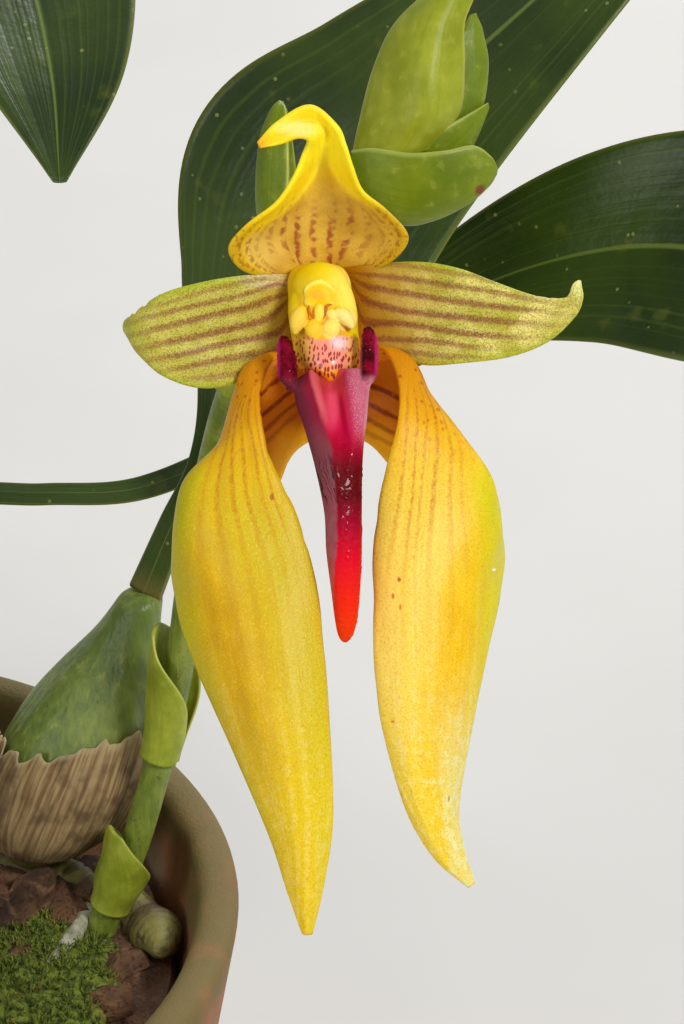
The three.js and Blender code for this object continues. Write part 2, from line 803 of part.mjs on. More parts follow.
// Lip: a tapering tongue with a groove near its top, and two upright wings beside the column.
// Each row is [y, middle x, half width, middle z, half depth].
const LIP = [
  [-5.2, 0.6, 4.2, 4.7, 1.0],
  [-6.6, 0.8, 4.1, 4.9, 1.6],
  [-8.2, 0.9, 3.5, 5.5, 1.7],
  [-10.2, 1.1, 3.1, 6.3, 1.8],
  [-12.4, 1.4, 2.5, 7.1, 1.8],
  [-15.6, 1.7, 1.95, 7.9, 1.8],
  [-19.2, 1.8, 1.85, 8.4, 1.7],
  [-23.0, 1.9, 1.75, 8.6, 1.6],
  [-26.6, 2.05, 1.45, 8.4, 1.4],
  [-29.6, 2.1, 1.1, 8.0, 1.1],
  [-31.3, 2.05, 0.65, 7.6, 0.6],
];
const WINGS = [
  { middle: [-3.75, -3.7, 4.4], size: [0.85, 2.5, 1.3], turn: 4 },
  { middle: [4.5, -3.0, 4.4], size: [0.85, 2.7, 1.3], turn: -4 },
];

function lipGeometry(grow = 0) {
  const notch = stacked(
    [
      [-3.8, 0.5, 3.2, 3.2, 3.2],
      [-5.4, 0.5, 2.0, 3.0, 3.0],
      [-6.8, 0.6, 0.8, 2.8, 2.8],
    ],
    8,
  );
  const wings = WINGS.map(({ middle, size, turn }) =>
    egg(middle, size.map((half) => half + grow), 10, turn),
  );
  return carve(join(stacked(LIP, 12, grow), ...wings), notch, columnGeometry(GAP));
}

add(flower, "lip", "lip", lipGeometry(), 0.3);

// Sepals and petals. Every station lists the points of the rails across the piece: one margin, the
// middle and the other margin, from the foot of the piece to its tip.

const DORSAL_SEPAL = [
  [[-3.0, 4.2, -4.0], [0.0, 4.8, -5.0], [2.8, 4.4, -4.0]],
  [[-7.4, 4.8, 0.6], [-0.3, 6.6, -3.5], [6.4, 5.8, 0.6]],
  [[-9.5, 6.8, 3.5], [-0.4, 8.8, -2.5], [8.2, 8.0, 3.5]],
  [[-7.9, 9.0, 4.5], [-0.5, 10.8, -1.5], [6.2, 10.5, 4.5]],
  [[-5.0, 11.2, 4.5], [-0.6, 13.2, -0.5], [4.3, 12.6, 4.5]],
  [[-3.3, 13.8, 4.0], [-0.4, 15.6, 0.5], [2.9, 15.0, 4.5]],
  [[-2.3, 16.2, 4.0], [0.0, 17.6, 2.0], [2.1, 17.2, 5.0]],
  [[-2.0, 17.6, 5.0], [-0.2, 19.2, 3.0], [1.2, 19.3, 5.0]],
  [[-2.9, 17.9, 6.5], [-2.0, 19.6, 4.5], [-1.3, 20.8, 5.5]],
  [[-4.4, 17.3, 7.5], [-4.3, 18.7, 6.0], [-4.5, 19.7, 6.5]],
  [[-6.4, 16.8, 8.0], [-6.6, 17.2, 7.6], [-6.6, 17.6, 7.6]],
];
const PETAL_LEFT = [
  [[-2.9, 3.4, -3.4], [-3.2, 0.2, -4.2], [-3.0, -3.2, -3.4]],
  [[-4.6, 4.7, -1.0], [-4.8, -0.2, -2.6], [-4.4, -4.8, -1.6]],
  [[-8.6, 4.2, 0.4], [-8.8, -0.9, -1.2], [-8.6, -6.4, -0.4]],
  [[-12.6, 3.5, 1.0], [-12.8, -1.2, 0.2], [-12.2, -6.7, 0.2]],
  [[-16.2, 2.4, 0.4], [-16.2, -1.5, 0.4], [-16.0, -5.6, 0.4]],
  [[-18.8, 1.1, -1.2], [-18.9, -1.2, -0.6], [-18.6, -3.4, -0.8]],
  [[-20.1, 0.2, -2.6], [-20.3, -0.6, -2.6], [-20.0, -1.3, -2.6]],
];
const PETAL_RIGHT = [
  [[2.9, 4.2, -3.4], [3.4, 0.8, -4.2], [3.6, -2.8, -3.4]],
  [[5.0, 5.7, -0.8], [5.6, 0.8, -2.2], [5.8, -3.6, -1.4]],
  [[9.4, 5.8, 0.6], [9.8, 0.8, -0.8], [9.6, -4.4, 0.0]],
  [[13.4, 5.1, 1.2], [13.8, 0.8, 0.6], [13.8, -4.3, 0.6]],
  [[17.4, 3.6, 1.4], [17.8, 0.6, 1.4], [18.4, -3.7, 1.0]],
  [[20.8, 2.4, 1.2], [21.4, 0.6, 1.4], [22.2, -2.2, 0.8]],
  [[23.6, 2.0, 0.8], [24.4, 1.6, 1.0], [25.2, 0.4, 0.6]],
  [[24.9, 3.4, 1.2], [25.2, 3.5, 1.4], [25.5, 3.3, 1.2]],
];
const LATERAL_SEPAL_LEFT = [
  [[-2.2, -4.6, -4.4], [-1.4, -7.8, -5.8], [-0.8, -11.6, -5.2]],
  [[-5.2, -5.6, -2.6], [-5.6, -8.6, -5.8], [-2.6, -12.6, -5.8]],
  [[-6.3, -7.0, 2.2], [-9.0, -8.9, -1.5], [-3.8, -14.0, -6.5]],
  [[-6.2, -10.0, 4.5], [-11.4, -13.0, 0.0], [-5.2, -16.8, -7.0]],
  [[-5.2, -14.2, 5.0], [-14.0, -16.8, 2.0], [-8.8, -20.4, -6.0]],
  [[-3.2, -18.4, 5.5], [-13.0, -21.0, 4.6], [-14.8, -23.6, -3.0]],
  [[-1.6, -23.4, 6.0], [-8.8, -26.4, 6.5], [-14.8, -28.4, 0.0]],
  [[-0.5, -29.2, 6.5], [-6.8, -32.2, 8.0], [-13.1, -33.8, 2.0]],
  [[0.3, -39.4, 7.0], [-4.4, -41.2, 9.0], [-9.0, -42.8, 4.0]],
  [[0.7, -49.0, 7.0], [-2.4, -50.0, 8.5], [-5.4, -51.0, 6.0]],
  [[-0.1, -55.6, 6.5], [-1.9, -56.3, 7.5], [-3.6, -56.6, 6.0]],
  [[-1.2, -60.7, 6.0], [-1.7, -60.8, 6.2], [-2.2, -60.7, 6.0]],
];
const LATERAL_SEPAL_RIGHT = [
  [[3.2, -4.2, -4.4], [2.8, -7.8, -5.8], [2.0, -11.4, -5.2]],
  [[6.0, -5.0, -2.6], [6.8, -8.4, -5.8], [4.4, -12.2, -5.8]],
  [[7.3, -6.6, 2.6], [10.4, -8.8, -1.5], [6.4, -14.2, -6.5]],
  [[7.2, -10.2, 4.5], [13.5, -12.0, 0.0], [8.6, -17.0, -7.0]],
  [[6.2, -14.2, 5.0], [16.2, -16.2, 2.0], [13.2, -20.4, -6.0]],
  [[5.1, -18.6, 5.5], [14.4, -20.6, 5.0], [17.9, -22.4, -3.0]],
  [[4.6, -23.8, 6.0], [11.6, -26.2, 7.0], [17.8, -27.2, 0.0]],
  [[4.7, -30.2, 6.5], [10.8, -32.2, 8.0], [16.4, -32.8, 2.0]],
  [[5.4, -38.2, 7.0], [10.0, -40.2, 8.5], [14.6, -40.2, 4.0]],
  [[7.8, -47.4, 7.0], [10.6, -48.4, 8.0], [13.2, -48.2, 5.0]],
  [[10.6, -52.8, 6.5], [12.2, -53.0, 7.0], [13.7, -52.2, 6.0]],
  [[14.1, -56.1, 6.0], [14.4, -56.0, 6.2], [14.8, -55.7, 6.0]],
];

function petalGeometry(stations, grow = 0) {
  return blade(sheet(stations), { rows: 18, columns: 6, thickness: () => PETAL_THICKNESS, grow });
}

const inner = [columnGeometry(GAP), pedicelGeometry(GAP)];
add(flower, "dorsal_sepal", "dorsal", carve(petalGeometry(DORSAL_SEPAL), ...inner), 0.45);
add(flower, "lateral_sepal_left", "sepal", carve(petalGeometry(LATERAL_SEPAL_LEFT), ...inner), 0.45);
add(flower, "lateral_sepal_right", "sepal", carve(petalGeometry(LATERAL_SEPAL_RIGHT), ...inner), 0.45);
const sepals = [DORSAL_SEPAL, LATERAL_SEPAL_LEFT, LATERAL_SEPAL_RIGHT].map((s) => petalGeometry(s, GAP));
add(flower, "petal_left", "petal", carve(petalGeometry(PETAL_LEFT), ...inner, ...sepals), 0.45);
add(flower, "petal_right", "petal", carve(petalGeometry(PETAL_RIGHT), ...inner, ...sepals), 0.45);

// Bracts at the end of the stalk: the open flower's own, and those that still hold buds

const BRACTS = [
  [
    [[-0.4, 6.0, -16.4], [-2.4, 5.4, -19.6], [-0.4, 6.6, -22.6]],
    [[-3.2, 8.8, -14.5], [-5.6, 8.4, -19.0], [-3.0, 9.4, -23.5]],
    [[-3.9, 12.0, -13.5], [-6.8, 12.0, -18.0], [-3.4, 12.8, -23.0]],
    [[-3.8, 16.0, -13.5], [-6.9, 16.2, -17.5], [-3.2, 16.6, -22.0]],
    [[-3.9, 19.8, -14.0], [-6.4, 20.2, -17.0], [-3.6, 20.4, -20.5]],
    [[-4.1, 22.2, -15.2], [-5.4, 22.4, -16.8], [-4.0, 22.4, -18.6]],
    [[-4.5, 23.1, -16.4], [-4.8, 23.3, -16.8], [-4.4, 23.2, -17.2]],
  ],
  [
    [[3.2, 16.2, -15.2], [2.2, 13.6, -17.8], [3.4, 16.4, -20.8]],
    [[5.4, 18.0, -13.0], [5.0, 12.3, -16.5], [5.6, 18.2, -22.5]],
    [[8.6, 17.8, -11.5], [8.4, 11.0, -15.5], [8.8, 18.2, -22.0]],
    [[12.2, 18.0, -11.2], [11.8, 11.7, -15.0], [12.2, 18.4, -20.5]],
    [[15.2, 18.6, -12.0], [14.8, 13.2, -14.5], [15.0, 18.8, -18.5]],
    [[17.0, 17.6, -13.0], [16.8, 14.9, -14.2], [16.9, 17.6, -16.4]],
    [[17.8, 16.4, -13.8], [17.7, 15.9, -14.2], [17.8, 16.4, -14.8]],
  ],
  [
    [[5.4, 18.6, -14.5], [5.8, 15.2, -17.5], [5.4, 18.6, -21.5]],
    [[7.8, 19.1, -12.6], [8.8, 13.4, -16.5], [8.0, 18.8, -21.0]],
    [[10.6, 19.7, -12.0], [12.2, 14.2, -16.0], [10.8, 19.6, -20.0]],
    [[13.2, 21.0, -12.2], [14.3, 17.4, -15.6], [13.2, 21.2, -18.6]],
    [[15.2, 22.2, -13.2], [15.5, 20.0, -15.0], [15.2, 22.2, -17.0]],
    [[16.8, 23.2, -14.2], [16.9, 22.8, -14.6], [16.8, 23.2, -15.0]],
  ],
  [
    [[10.8, 18.2, -12.6], [7.8, 17.8, -12.2], [4.8, 18.6, -15.8], [6.8, 18.6, -19.8], [10.0, 18.8, -20.0]],
    [[13.8, 22.0, -12.4], [9.6, 21.2, -9.8], [3.9, 21.6, -15.0], [7.8, 22.4, -20.8], [12.2, 23.0, -19.6]],
    [[14.3, 26.6, -11.5], [10.0, 26.0, -9.2], [5.2, 26.6, -14.6], [9.0, 27.2, -20.2], [13.2, 27.2, -18.9]],
    [[14.3, 31.0, -11.5], [11.0, 30.6, -9.8], [7.2, 31.0, -14.2], [10.6, 31.4, -18.6], [14.0, 31.4, -17.4]],
    [[15.4, 34.2, -12.0], [12.8, 34.2, -10.8], [10.6, 34.4, -13.8], [12.8, 34.6, -16.6], [15.0, 34.6, -15.6]],
    [[15.9, 37.6, -12.8], [15.3, 37.6, -12.4], [14.7, 37.8, -13.2], [15.1, 37.8, -14.0], [15.8, 37.8, -13.9]],
  ],
  [
    [[10.9, 19.6, -14.2], [13.5, 18.8, -16.2], [10.8, 19.8, -18.4]],
    [[12.2, 22.6, -13.6], [15.9, 22.5, -15.7], [12.2, 22.8, -17.8]],
    [[12.9, 26.6, -13.1], [16.6, 27.1, -15.3], [12.9, 27.0, -17.4]],
    [[13.7, 29.6, -13.1], [16.1, 30.2, -14.8], [13.7, 30.0, -16.4]],
    [[14.9, 32.2, -13.7], [15.5, 32.5, -14.3], [15.0, 32.4, -14.9]],
  ],
];

const bractGeometry = (stations, grow = 0) =>
  blade(sheet(stations), {
    rows: 10,
    columns: stations[0].length > 3 ? 10 : 6,
    thickness: () => BRACT_THICKNESS,
    grow,
  });

// The bud inside the top bracts, on the stalk's end
const BUD = through([
  [10.6, 26.6, -15.7],
  [11.4, 29, -15.3],
  [12.6, 32, -14.5],
  [13.6, 34.2, -13.9],
]);
const budGeometry = (grow = 0) =>
  stem(BUD, (t) => along([0.9, 1.9, 1.5, 0.4], t), { rows: 7, sides: 8, grow });
add(flower, "flower_bud", "bud", carve(budGeometry(), stalkHere(GAP)), 0.5);

const outside = [stalkHere(GAP), budGeometry(GAP), pedicelGeometry(GAP)];
BRACTS.forEach((stations, k) => {
  const others = BRACTS.slice(k + 1).map((b) => bractGeometry(b, GAP));
  add(flower, "bract_" + (k + 1), "bract", carve(bractGeometry(stations), ...outside, ...others), 0.5);
});

export default plant;
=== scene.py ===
# %% [markdown]
# # A potted orchid in flower
#
# The plant creeps over bark in a clay pot. Each of its green bulbs carries one strap leaf, and from
# the youngest bulb a stalk leans out with green bracts and one open flower. The CAD model gives
# every piece its place and size. Here each one is made again with the curves, edges and surface of
# the real thing, in the same frame, so nothing has to be fitted by eye.

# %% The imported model
import math

import bpy
import numpy as np
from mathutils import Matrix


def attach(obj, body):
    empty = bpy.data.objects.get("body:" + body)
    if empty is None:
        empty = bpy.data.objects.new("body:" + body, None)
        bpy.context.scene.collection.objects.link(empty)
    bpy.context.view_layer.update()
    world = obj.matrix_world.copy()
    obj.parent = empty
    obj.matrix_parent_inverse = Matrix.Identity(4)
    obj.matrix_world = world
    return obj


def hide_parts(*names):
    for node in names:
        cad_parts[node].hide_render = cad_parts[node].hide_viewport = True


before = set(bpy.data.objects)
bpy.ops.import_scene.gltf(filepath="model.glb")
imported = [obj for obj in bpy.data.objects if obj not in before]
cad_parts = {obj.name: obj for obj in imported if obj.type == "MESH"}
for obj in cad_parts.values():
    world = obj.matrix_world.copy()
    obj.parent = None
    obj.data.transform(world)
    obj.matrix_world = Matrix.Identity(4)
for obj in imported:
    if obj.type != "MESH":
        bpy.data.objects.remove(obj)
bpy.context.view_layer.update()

MM = 0.001
print("nodes in the packed model:", len(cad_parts))

# %% [markdown]
# ## Two frames
#
# The pot, the bulbs and the leaves are given in the plant's own millimetres, with the floor at
# zero. The flower looks up at an angle, so its points are easier to read in a frame of its own: X to
# the right of someone who looks it in the face, Y up and Z towards them. One turn and one shift take
# a point from there to the plant.

# %% The flower's frame
FLOWER_CENTRE = np.array([73.0, -72.0, 227.0])
FLOWER_TILT = 30  # degrees that the flower looks up

X_AXIS, Y_AXIS, Z_AXIS = range(3)


def turning(angle, axis):
    """The matrix of a turn about one axis, by an angle in radians."""
    cos, sin = math.cos(angle), math.sin(angle)
    a, b = (axis + 1) % 3, (axis + 2) % 3
    matrix = np.eye(3)
    matrix[a, a] = matrix[b, b] = cos
    matrix[a, b], matrix[b, a] = -sin, sin
    return matrix


lean = math.radians(90 - FLOWER_TILT)
FLOWER_TURN = turning(lean, X_AXIS)


def from_flower(points):
    """Points of the flower's frame in the plant's frame."""
    return FLOWER_CENTRE + np.asarray(points, float) @ FLOWER_TURN.T


print("the flower's middle, in mm:", from_flower([0, 0, 0]))

# %% [markdown]
# ## The view
#
# The photograph looks down on the flower at the angle at which the flower looks up, so it sees it
# full in the face. A long lens from forty centimetres keeps the petals in proportion. The camera
# looks along the flower's own axis, from nineteen millimetres below it, so that the hanging sepals
# fit into the picture.

# %% Camera
VIEW_POINT = (74.7, -428.0, 410.4)  # mm
LENS, SENSOR = 140.6, 36  # mm
NEAREST = 0.01  # metres

eye = bpy.data.cameras.new("camera")
eye.lens = LENS
eye.sensor_width = SENSOR
eye.clip_start = NEAREST
camera = bpy.data.objects.new("camera", eye)
camera.location = [v * MM for v in VIEW_POINT]
camera.rotation_euler = (lean, 0, 0)
bpy.context.scene.collection.objects.link(camera)
bpy.context.scene.camera = camera
print("camera at", tuple(round(v, 3) for v in camera.location))

# %% [markdown]
# ## Light and floor
#
# A flower is translucent and half glossy, so it wants one large soft light for its shape, a weaker
# one from the other side, and a little from behind that makes the thin edges glow. The floor is
# plain and pale. Blender's standard colour view keeps strong yellows as they are.


# %% Studio
def softbox(name, place, target, size, power):
    """A round soft light that faces its target."""
    light = bpy.data.lights.new(name, "AREA")
    light.shape = "DISK"
    light.size = size
    light.energy = power
    lamp = bpy.data.objects.new(name, light)
    lamp.location = place
    aim = np.subtract(target, place)
    flat = math.hypot(aim[0], aim[1])
    lamp.rotation_euler = (math.atan2(flat, -aim[2]), 0, math.atan2(aim[1], aim[0]) - math.pi / 2)
    bpy.context.scene.collection.objects.link(lamp)


FLOWER_PLACE = tuple(FLOWER_CENTRE * MM)
LIGHTS = {  # place and width in metres, power in watts
    "key_light": ((0.56, -0.66, 0.88), 0.26, 7),
    "fill_light": ((-0.75, -0.75, 0.6), 0.5, 3),
    "back_light": ((0.35, 0.8, 0.75), 0.5, 6),
}
SKY, SKY_STRENGTH = (0.93, 0.96, 1, 1), 0.4

for name, (place, width, power) in LIGHTS.items():
    softbox(name, place, FLOWER_PLACE, width, power)

world = bpy.data.worlds.new("studio")
bpy.context.scene.world = world
world.use_nodes = True
sky = world.node_tree.nodes["Background"]
sky.inputs["Color"].default_value = SKY
sky.inputs["Strength"].default_value = SKY_STRENGTH
bpy.context.scene.view_settings.view_transform = "Standard"

# %% [markdown]
# ## Writing a material as sums
#
# A petal's colour is laid on in coats: a stripe here, a speckle there, each where its mask says. A
# mask is a sum of patterns, and sums read best as plain arithmetic. So a small class wraps the output
# of a node, and each sum on it adds a Math node. Every other node comes from one method, which takes
# the node's type, its settings and its sockets. paint lays one colour over the coats before it.


# %% Tones and finishes
def colour(red, green, blue):
    """A colour as it looks on screen, 0 to 255, for a shader socket."""
    bright = [v / 255 for v in (red, green, blue)]
    return tuple(v / 12.92 if v < 0.04045 else ((v + 0.055) / 1.055) ** 2.4 for v in bright) + (1,)


class Tone:
    """One output of a finish's nodes, ready for sums."""

    def __init__(self, finish, socket):
        self.finish = finish
        self.socket = socket

    def maths(self, operation, *terms):
        sockets = dict(enumerate(terms))
        return self.finish.node("ShaderNodeMath", {"operation": operation}, sockets)

    def __add__(self, other):
        return self.maths("ADD", self, other)

    def __sub__(self, other):
        return self.maths("SUBTRACT", self, other)

    def __rsub__(self, other):
        return self.maths("SUBTRACT", other, self)

    def __mul__(self, other):
        return self.maths("MULTIPLY", self, other)

    def __truediv__(self, other):
        return self.maths("DIVIDE", self, other)

    def __abs__(self):
        return self.maths("ABSOLUTE", self)

    def most(self, other):
        return self.maths("MAXIMUM", self, other)

    def step(self, low, high):
        """0 up to low, 1 from high on, and a smooth way between them."""
        settings = {"interpolation_type": "SMOOTHSTEP"}
        sockets = {"Value": self, "From Min": low, "From Max": high}
        return self.finish.node("ShaderNodeMapRange", settings, sockets)

    __radd__ = __add__
    __rmul__ = __mul__


class Finish:
    """A material that is being made, with its shader's fixed values.

    flesh says how much light goes into it, from 0 to 1, and how many millimetres deep.
    """

    def __init__(self, name, flesh=None, **fixed):
        self.material = bpy.data.materials.new(name)
        self.material.use_nodes = True
        self.tree = self.material.node_tree
        self.shader = self.tree.nodes["Principled BSDF"]
        self.base = None
        if flesh:
            fixed.update(Subsurface_Weight=flesh[0], Subsurface_Scale=flesh[1] * MM)
        for socket, value in fixed.items():
            self.shader.inputs[socket.replace("_", " ")].default_value = value

    def node(self, kind, settings, sockets, out=0):
        """Adds a node, and gives one of its outputs."""
        node = self.tree.nodes.new(kind)
        for key, value in settings.items():
            if key == "stops":
                for place, _ in value[2:]:
                    node.color_ramp.elements.new(place)
                for stop, (place, shade) in zip(node.color_ramp.elements, sorted(value)):
                    stop.position = place
                    stop.color = colour(*shade)
            else:
                setattr(node, key, value)
        for key, value in sockets.items():
            self.join(value, node.inputs[key])
        return Tone(self, node.outputs[out])

    def join(self, value, socket):
        if isinstance(value, Tone):
            self.tree.links.new(value.socket, socket)
        else:
            socket.default_value = value

    def set(self, socket, value):
        self.join(value, self.shader.inputs[socket])

    def vectors(self, operation, sockets, out=0):
        return self.node("ShaderNodeVectorMath", {"operation": operation}, sockets, out)

    def place(self):
        """The place on the piece, in the plant's millimetres."""
        here = self.node("ShaderNodeTexCoord", {}, {}, "Object")
        return self.vectors("SCALE", {0: here, "Scale": 1 / MM})

    def flower_place(self):
        """The place on the piece, in the flower's millimetres."""
        here = self.node("ShaderNodeTexCoord", {}, {}, "Object")
        sockets = {"Location": FLOWER_PLACE, "Rotation": (lean, 0, 0), "Scale": (MM, MM, MM)}
        return self.node("ShaderNodeMapping", {"vector_type": "TEXTURE"}, {"Vector": here, **sockets})

    def parts(self, vector):
        split = self.node("ShaderNodeSeparateXYZ", {}, {0: vector}).socket.node
        return [Tone(self, output) for output in split.outputs]

    def blade(self):
        """Across a blade from -1 to 1, along it from 0 to 1, and whether this is its back."""
        across, along, _ = self.parts(self.node("ShaderNodeUVMap", {"uv_map": "blade"}, {}))
        back = across.step(1.49, 1.51)
        return (across - back * 2) * 2 - 1, along, back

    def veins(self):
        """The number of the nearest vein, with fractions between veins, and the share of its length."""
        number, share, _ = self.parts(self.node("ShaderNodeUVMap", {"uv_map": "veins"}, {}))
        return number, share

    def patch(self, here, middle, sizes, soft=0.3):
        """1 inside an egg-shaped patch of the flesh and 0 outside it."""
        off = self.vectors("DIVIDE", {0: self.vectors("SUBTRACT", {0: here, 1: middle}), 1: sizes})
        far = self.vectors("LENGTH", {0: off}, 1)
        return 1 - far.step(1 - soft, 1 + soft)

    def stretched(self, vector, stretch):
        return self.vectors("MULTIPLY", {0: vector, 1: stretch})

    def vector(self, x, y, z=0.0):
        return self.node("ShaderNodeCombineXYZ", {}, {0: x, 1: y, 2: z})

    def noise(self, vector, size, detail=2.0, rough=0.5):
        sockets = {"Vector": vector, "Scale": 1 / size, "Detail": detail, "Roughness": rough}
        return self.node("ShaderNodeTexNoise", {}, sockets)

    def cells(self, vector, size, feature="F1", flat="3D"):
        settings = {"feature": feature, "voronoi_dimensions": flat}
        return self.node("ShaderNodeTexVoronoi", settings, {"Vector": vector, "Scale": 1 / size})

    def mix(self, under, over, mask):
        """One colour over another, each a tone or its red, green and blue from 0 to 255."""
        under, over = (v if isinstance(v, Tone) else colour(*v) for v in (under, over))
        return self.node("ShaderNodeMix", {"data_type": "RGBA"}, {0: mask, 6: under, 7: over}, 2)

    def paint(self, shade, mask):
        """Lays a colour over the coats before it."""
        self.base = self.mix(self.base, shade, mask)

    def ramp(self, tone, *stops):
        return self.node("ShaderNodeValToRGB", {"stops": list(stops)}, {0: tone})

    def done(self, *bumps):
        """The material, with bumps from pairs of a height from 0 to 1 and its depth in mm."""
        self.set("Base Color", self.base)
        normal = None
        for height, depth in bumps:
            sockets = {"Height": height, "Distance": depth * MM, "Strength": 1.0}
            if normal:
                sockets["Normal"] = normal
            normal = self.node("ShaderNodeBump", {}, sockets)
            self.set("Normal", normal)
        print("finish", self.material.name, "has", len(self.tree.nodes), "nodes")
        return self.material


print("a mid grey in shader values:", [round(v, 3) for v in colour(128, 128, 128)])

# %% [markdown]
# ## Floor
#
# The floor only has to be pale and quiet. A trace of mottling keeps it from looking like paper.

# %% Floor
FLOOR_REACH = 3000


def new_object(name, points, faces):
    """A bare Blender object, from points in millimetres."""
    mesh = bpy.data.meshes.new(name)
    mesh.from_pydata((np.asarray(points) * MM).tolist(), [], [list(map(int, face)) for face in faces])
    made = bpy.data.objects.new(name, mesh)
    bpy.context.scene.collection.objects.link(made)
    return made


plain = Finish("floor", Roughness=0.85)
plain.base = plain.mix((214, 211, 205), (222, 220, 215), plain.noise(plain.place(), 60))
corners = [[-1, -1, 0], [1, -1, 0], [1, 1, 0], [-1, 1, 0]]
floor = new_object("floor", np.array(corners) * FLOOR_REACH, [[0, 1, 2, 3]])
floor.data.materials.append(plain.done())
print("floor:", 2 * FLOOR_REACH, "mm across")

# %% [markdown]
# ## Curves, sheets and skins
#
# Nearly everything on the plant is a thin sheet or a stem. A sheet hangs on listed points: at
# each station one on either margin and one in the middle. A smooth curve runs through each row of
# points, and the surface bends across them. The same points shape the CAD solids. Here the grid is
# much finer and the edges are thin.


# %% Smooth curves and sheets
def smooth_path(points, places):
    """Points on the smooth curve through given ones, at places from 0 to 1."""
    points = np.asarray(points, float)
    before = 2 * points[0] - points[1]
    after = 2 * points[-1] - points[-2]
    knots = np.concatenate([[before], points, [after]])
    spot = np.clip(places, 0, 1) * (len(points) - 1)
    k = np.minimum(spot.astype(int), len(points) - 2)
    t = (spot - k).reshape((-1,) + (1,) * (points.ndim - 1))
    a, b, c, d = (knots[k + i] for i in range(4))
    bend = 2 * a - 5 * b + 4 * c - d
    twist = 3 * b - a - 3 * c + d
    return (2 * b + (c - a) * t + bend * t**2 + twist * t**3) / 2


def even(count):
    return np.linspace(0, 1, count)


def spread(values, count):
    """A short list of numbers, spread smoothly over more places."""
    return smooth_path(np.asarray(values, float), even(count))


def sheet(stations, rows, columns):
    """A grid of points on the surface over three or more rails."""
    rails = smooth_path(stations, even(rows))
    v = np.linspace(-1, 1, columns)[None, :, None]
    if rails.shape[1] > 3:
        return np.stack([smooth_path(rail, even(columns)) for rail in rails])
    a, m, b = (rails[:, [k]] for k in range(3))
    return m + v * (b - a) / 2 + v**2 * ((a + b) / 2 - m)


def unit(vectors):
    length = np.linalg.norm(vectors, axis=-1, keepdims=True)
    return vectors / np.maximum(length, 1e-9)


def all_round(sides):
    """The angles of points that stand evenly in a ring."""
    return np.arange(sides) * 2 * math.pi / sides


def ringed(radius, angle, height):
    """Points round the upright axis."""
    spots = np.broadcast_arrays(radius * np.cos(angle), radius * np.sin(angle), height)
    return np.stack(spots, -1)


def facing(grid):
    """The direction that each point of a grid faces."""
    return unit(np.cross(np.gradient(grid, axis=0), np.gradient(grid, axis=1)))


def lumps(points, size, seed):
    """A soft random number, mostly from -1 to 1, that changes over about that many mm."""
    random = np.random.default_rng(seed)
    total = 0
    for _ in range(8):
        way = unit(random.normal(size=3)) * random.uniform(0.7, 1.5) * 2 * math.pi / size
        total = total + np.sin(points @ way + random.uniform(0, 2 * math.pi))
    return total / 3


print("the middle of a smooth path:", smooth_path([[0, 0, 0], [1, 2, 0], [3, 0, 0]], np.array([0.5])))

# %% [markdown]
# ## Making a piece
#
# Each maker below gives points and faces in millimetres. One function turns them into a Blender
# object, smooth all over. It hides the CAD nodes that the piece stands for, and makes the piece
# ride on the plant's one body. Sheets also get a map that says how far across and along the blade
# a point lies, because veins follow the blade.


# %% Piece maker
def piece(name, shape, finish, slot, *nodes):
    made = new_object(name, *shape[:2])
    mesh = made.data
    for title, values in zip(("blade", "veins"), shape[2:]):
        layer = mesh.uv_layers.new(name=title)
        layer.uv.foreach_set("vector", np.asarray(values, np.float32).ravel())
    mesh.polygons.foreach_set("use_smooth", [True] * len(mesh.polygons))
    mesh.materials.append(finish)
    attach(made, "root")
    if nodes:
        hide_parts(*nodes)
    print(name, "has", len(mesh.polygons), "faces")
    return made


def flower_piece(name, shape, finish, slot, *nodes):
    """A piece whose points are given in the flower's frame."""
    return piece(name, (from_flower(shape[0]), *shape[1:]), finish, slot, *nodes)


def together(*shapes):
    """Several shapes as one."""
    points, faces, first = [], [], 0
    for shape in shapes:
        points.append(shape[0])
        faces += [[int(k) + first for k in face] for face in shape[1]]
        first += len(shape[0])
    return np.concatenate(points), faces


def skin(grid, thickness):
    """A closed skin round a sheet, with its map. The back's map lies two to the right."""
    rows, columns = grid.shape[:2]
    half = facing(grid) * np.broadcast_to(thickness, (rows, columns))[..., None] / 2
    points = np.concatenate([(grid + half).reshape(-1, 3), (grid - half).reshape(-1, 3)])
    n = np.arange(rows * columns).reshape(rows, columns)
    quads = np.stack([n[:-1, :-1], n[1:, :-1], n[1:, 1:], n[:-1, 1:]], -1).reshape(-1, 4)
    rim = np.concatenate([n[:, 0], n[-1, 1:], n[-2::-1, -1], n[0, -2:0:-1]])
    after = np.roll(rim, -1)
    edge = np.stack([after, rim, rim + n.size, after + n.size], -1)
    faces = np.concatenate([quads, quads[:, ::-1] + n.size, edge])
    along, across = np.meshgrid(even(rows), even(columns), indexing="ij")
    flat = np.stack([across.ravel(), along.ravel()], -1)
    mapped = np.concatenate([flat, flat + [2, 0]])
    corners = mapped[faces]
    corners[-len(edge) :] = flat[faces[-len(edge) :] % n.size]
    return points, faces, corners.reshape(-1, 2)


def thin_edge(rows, columns, middle, rim):
    """A sheet's thickness, full in the middle and thin at the margins."""
    v = np.linspace(-1, 1, columns)
    return np.broadcast_to(rim + (middle - rim) * np.sqrt(1 - v**4), (rows, columns))


# %% [markdown]
# ## Stems and turned shapes
#
# A stem is a row of rings along a smooth curve. Each ring keeps the turn of the one before, so that
# the skin doesn't twist. The ring's radius may change from point to point, which gives ribs, knots
# and dents. Bulbs, roots and the stalk are all made this way.


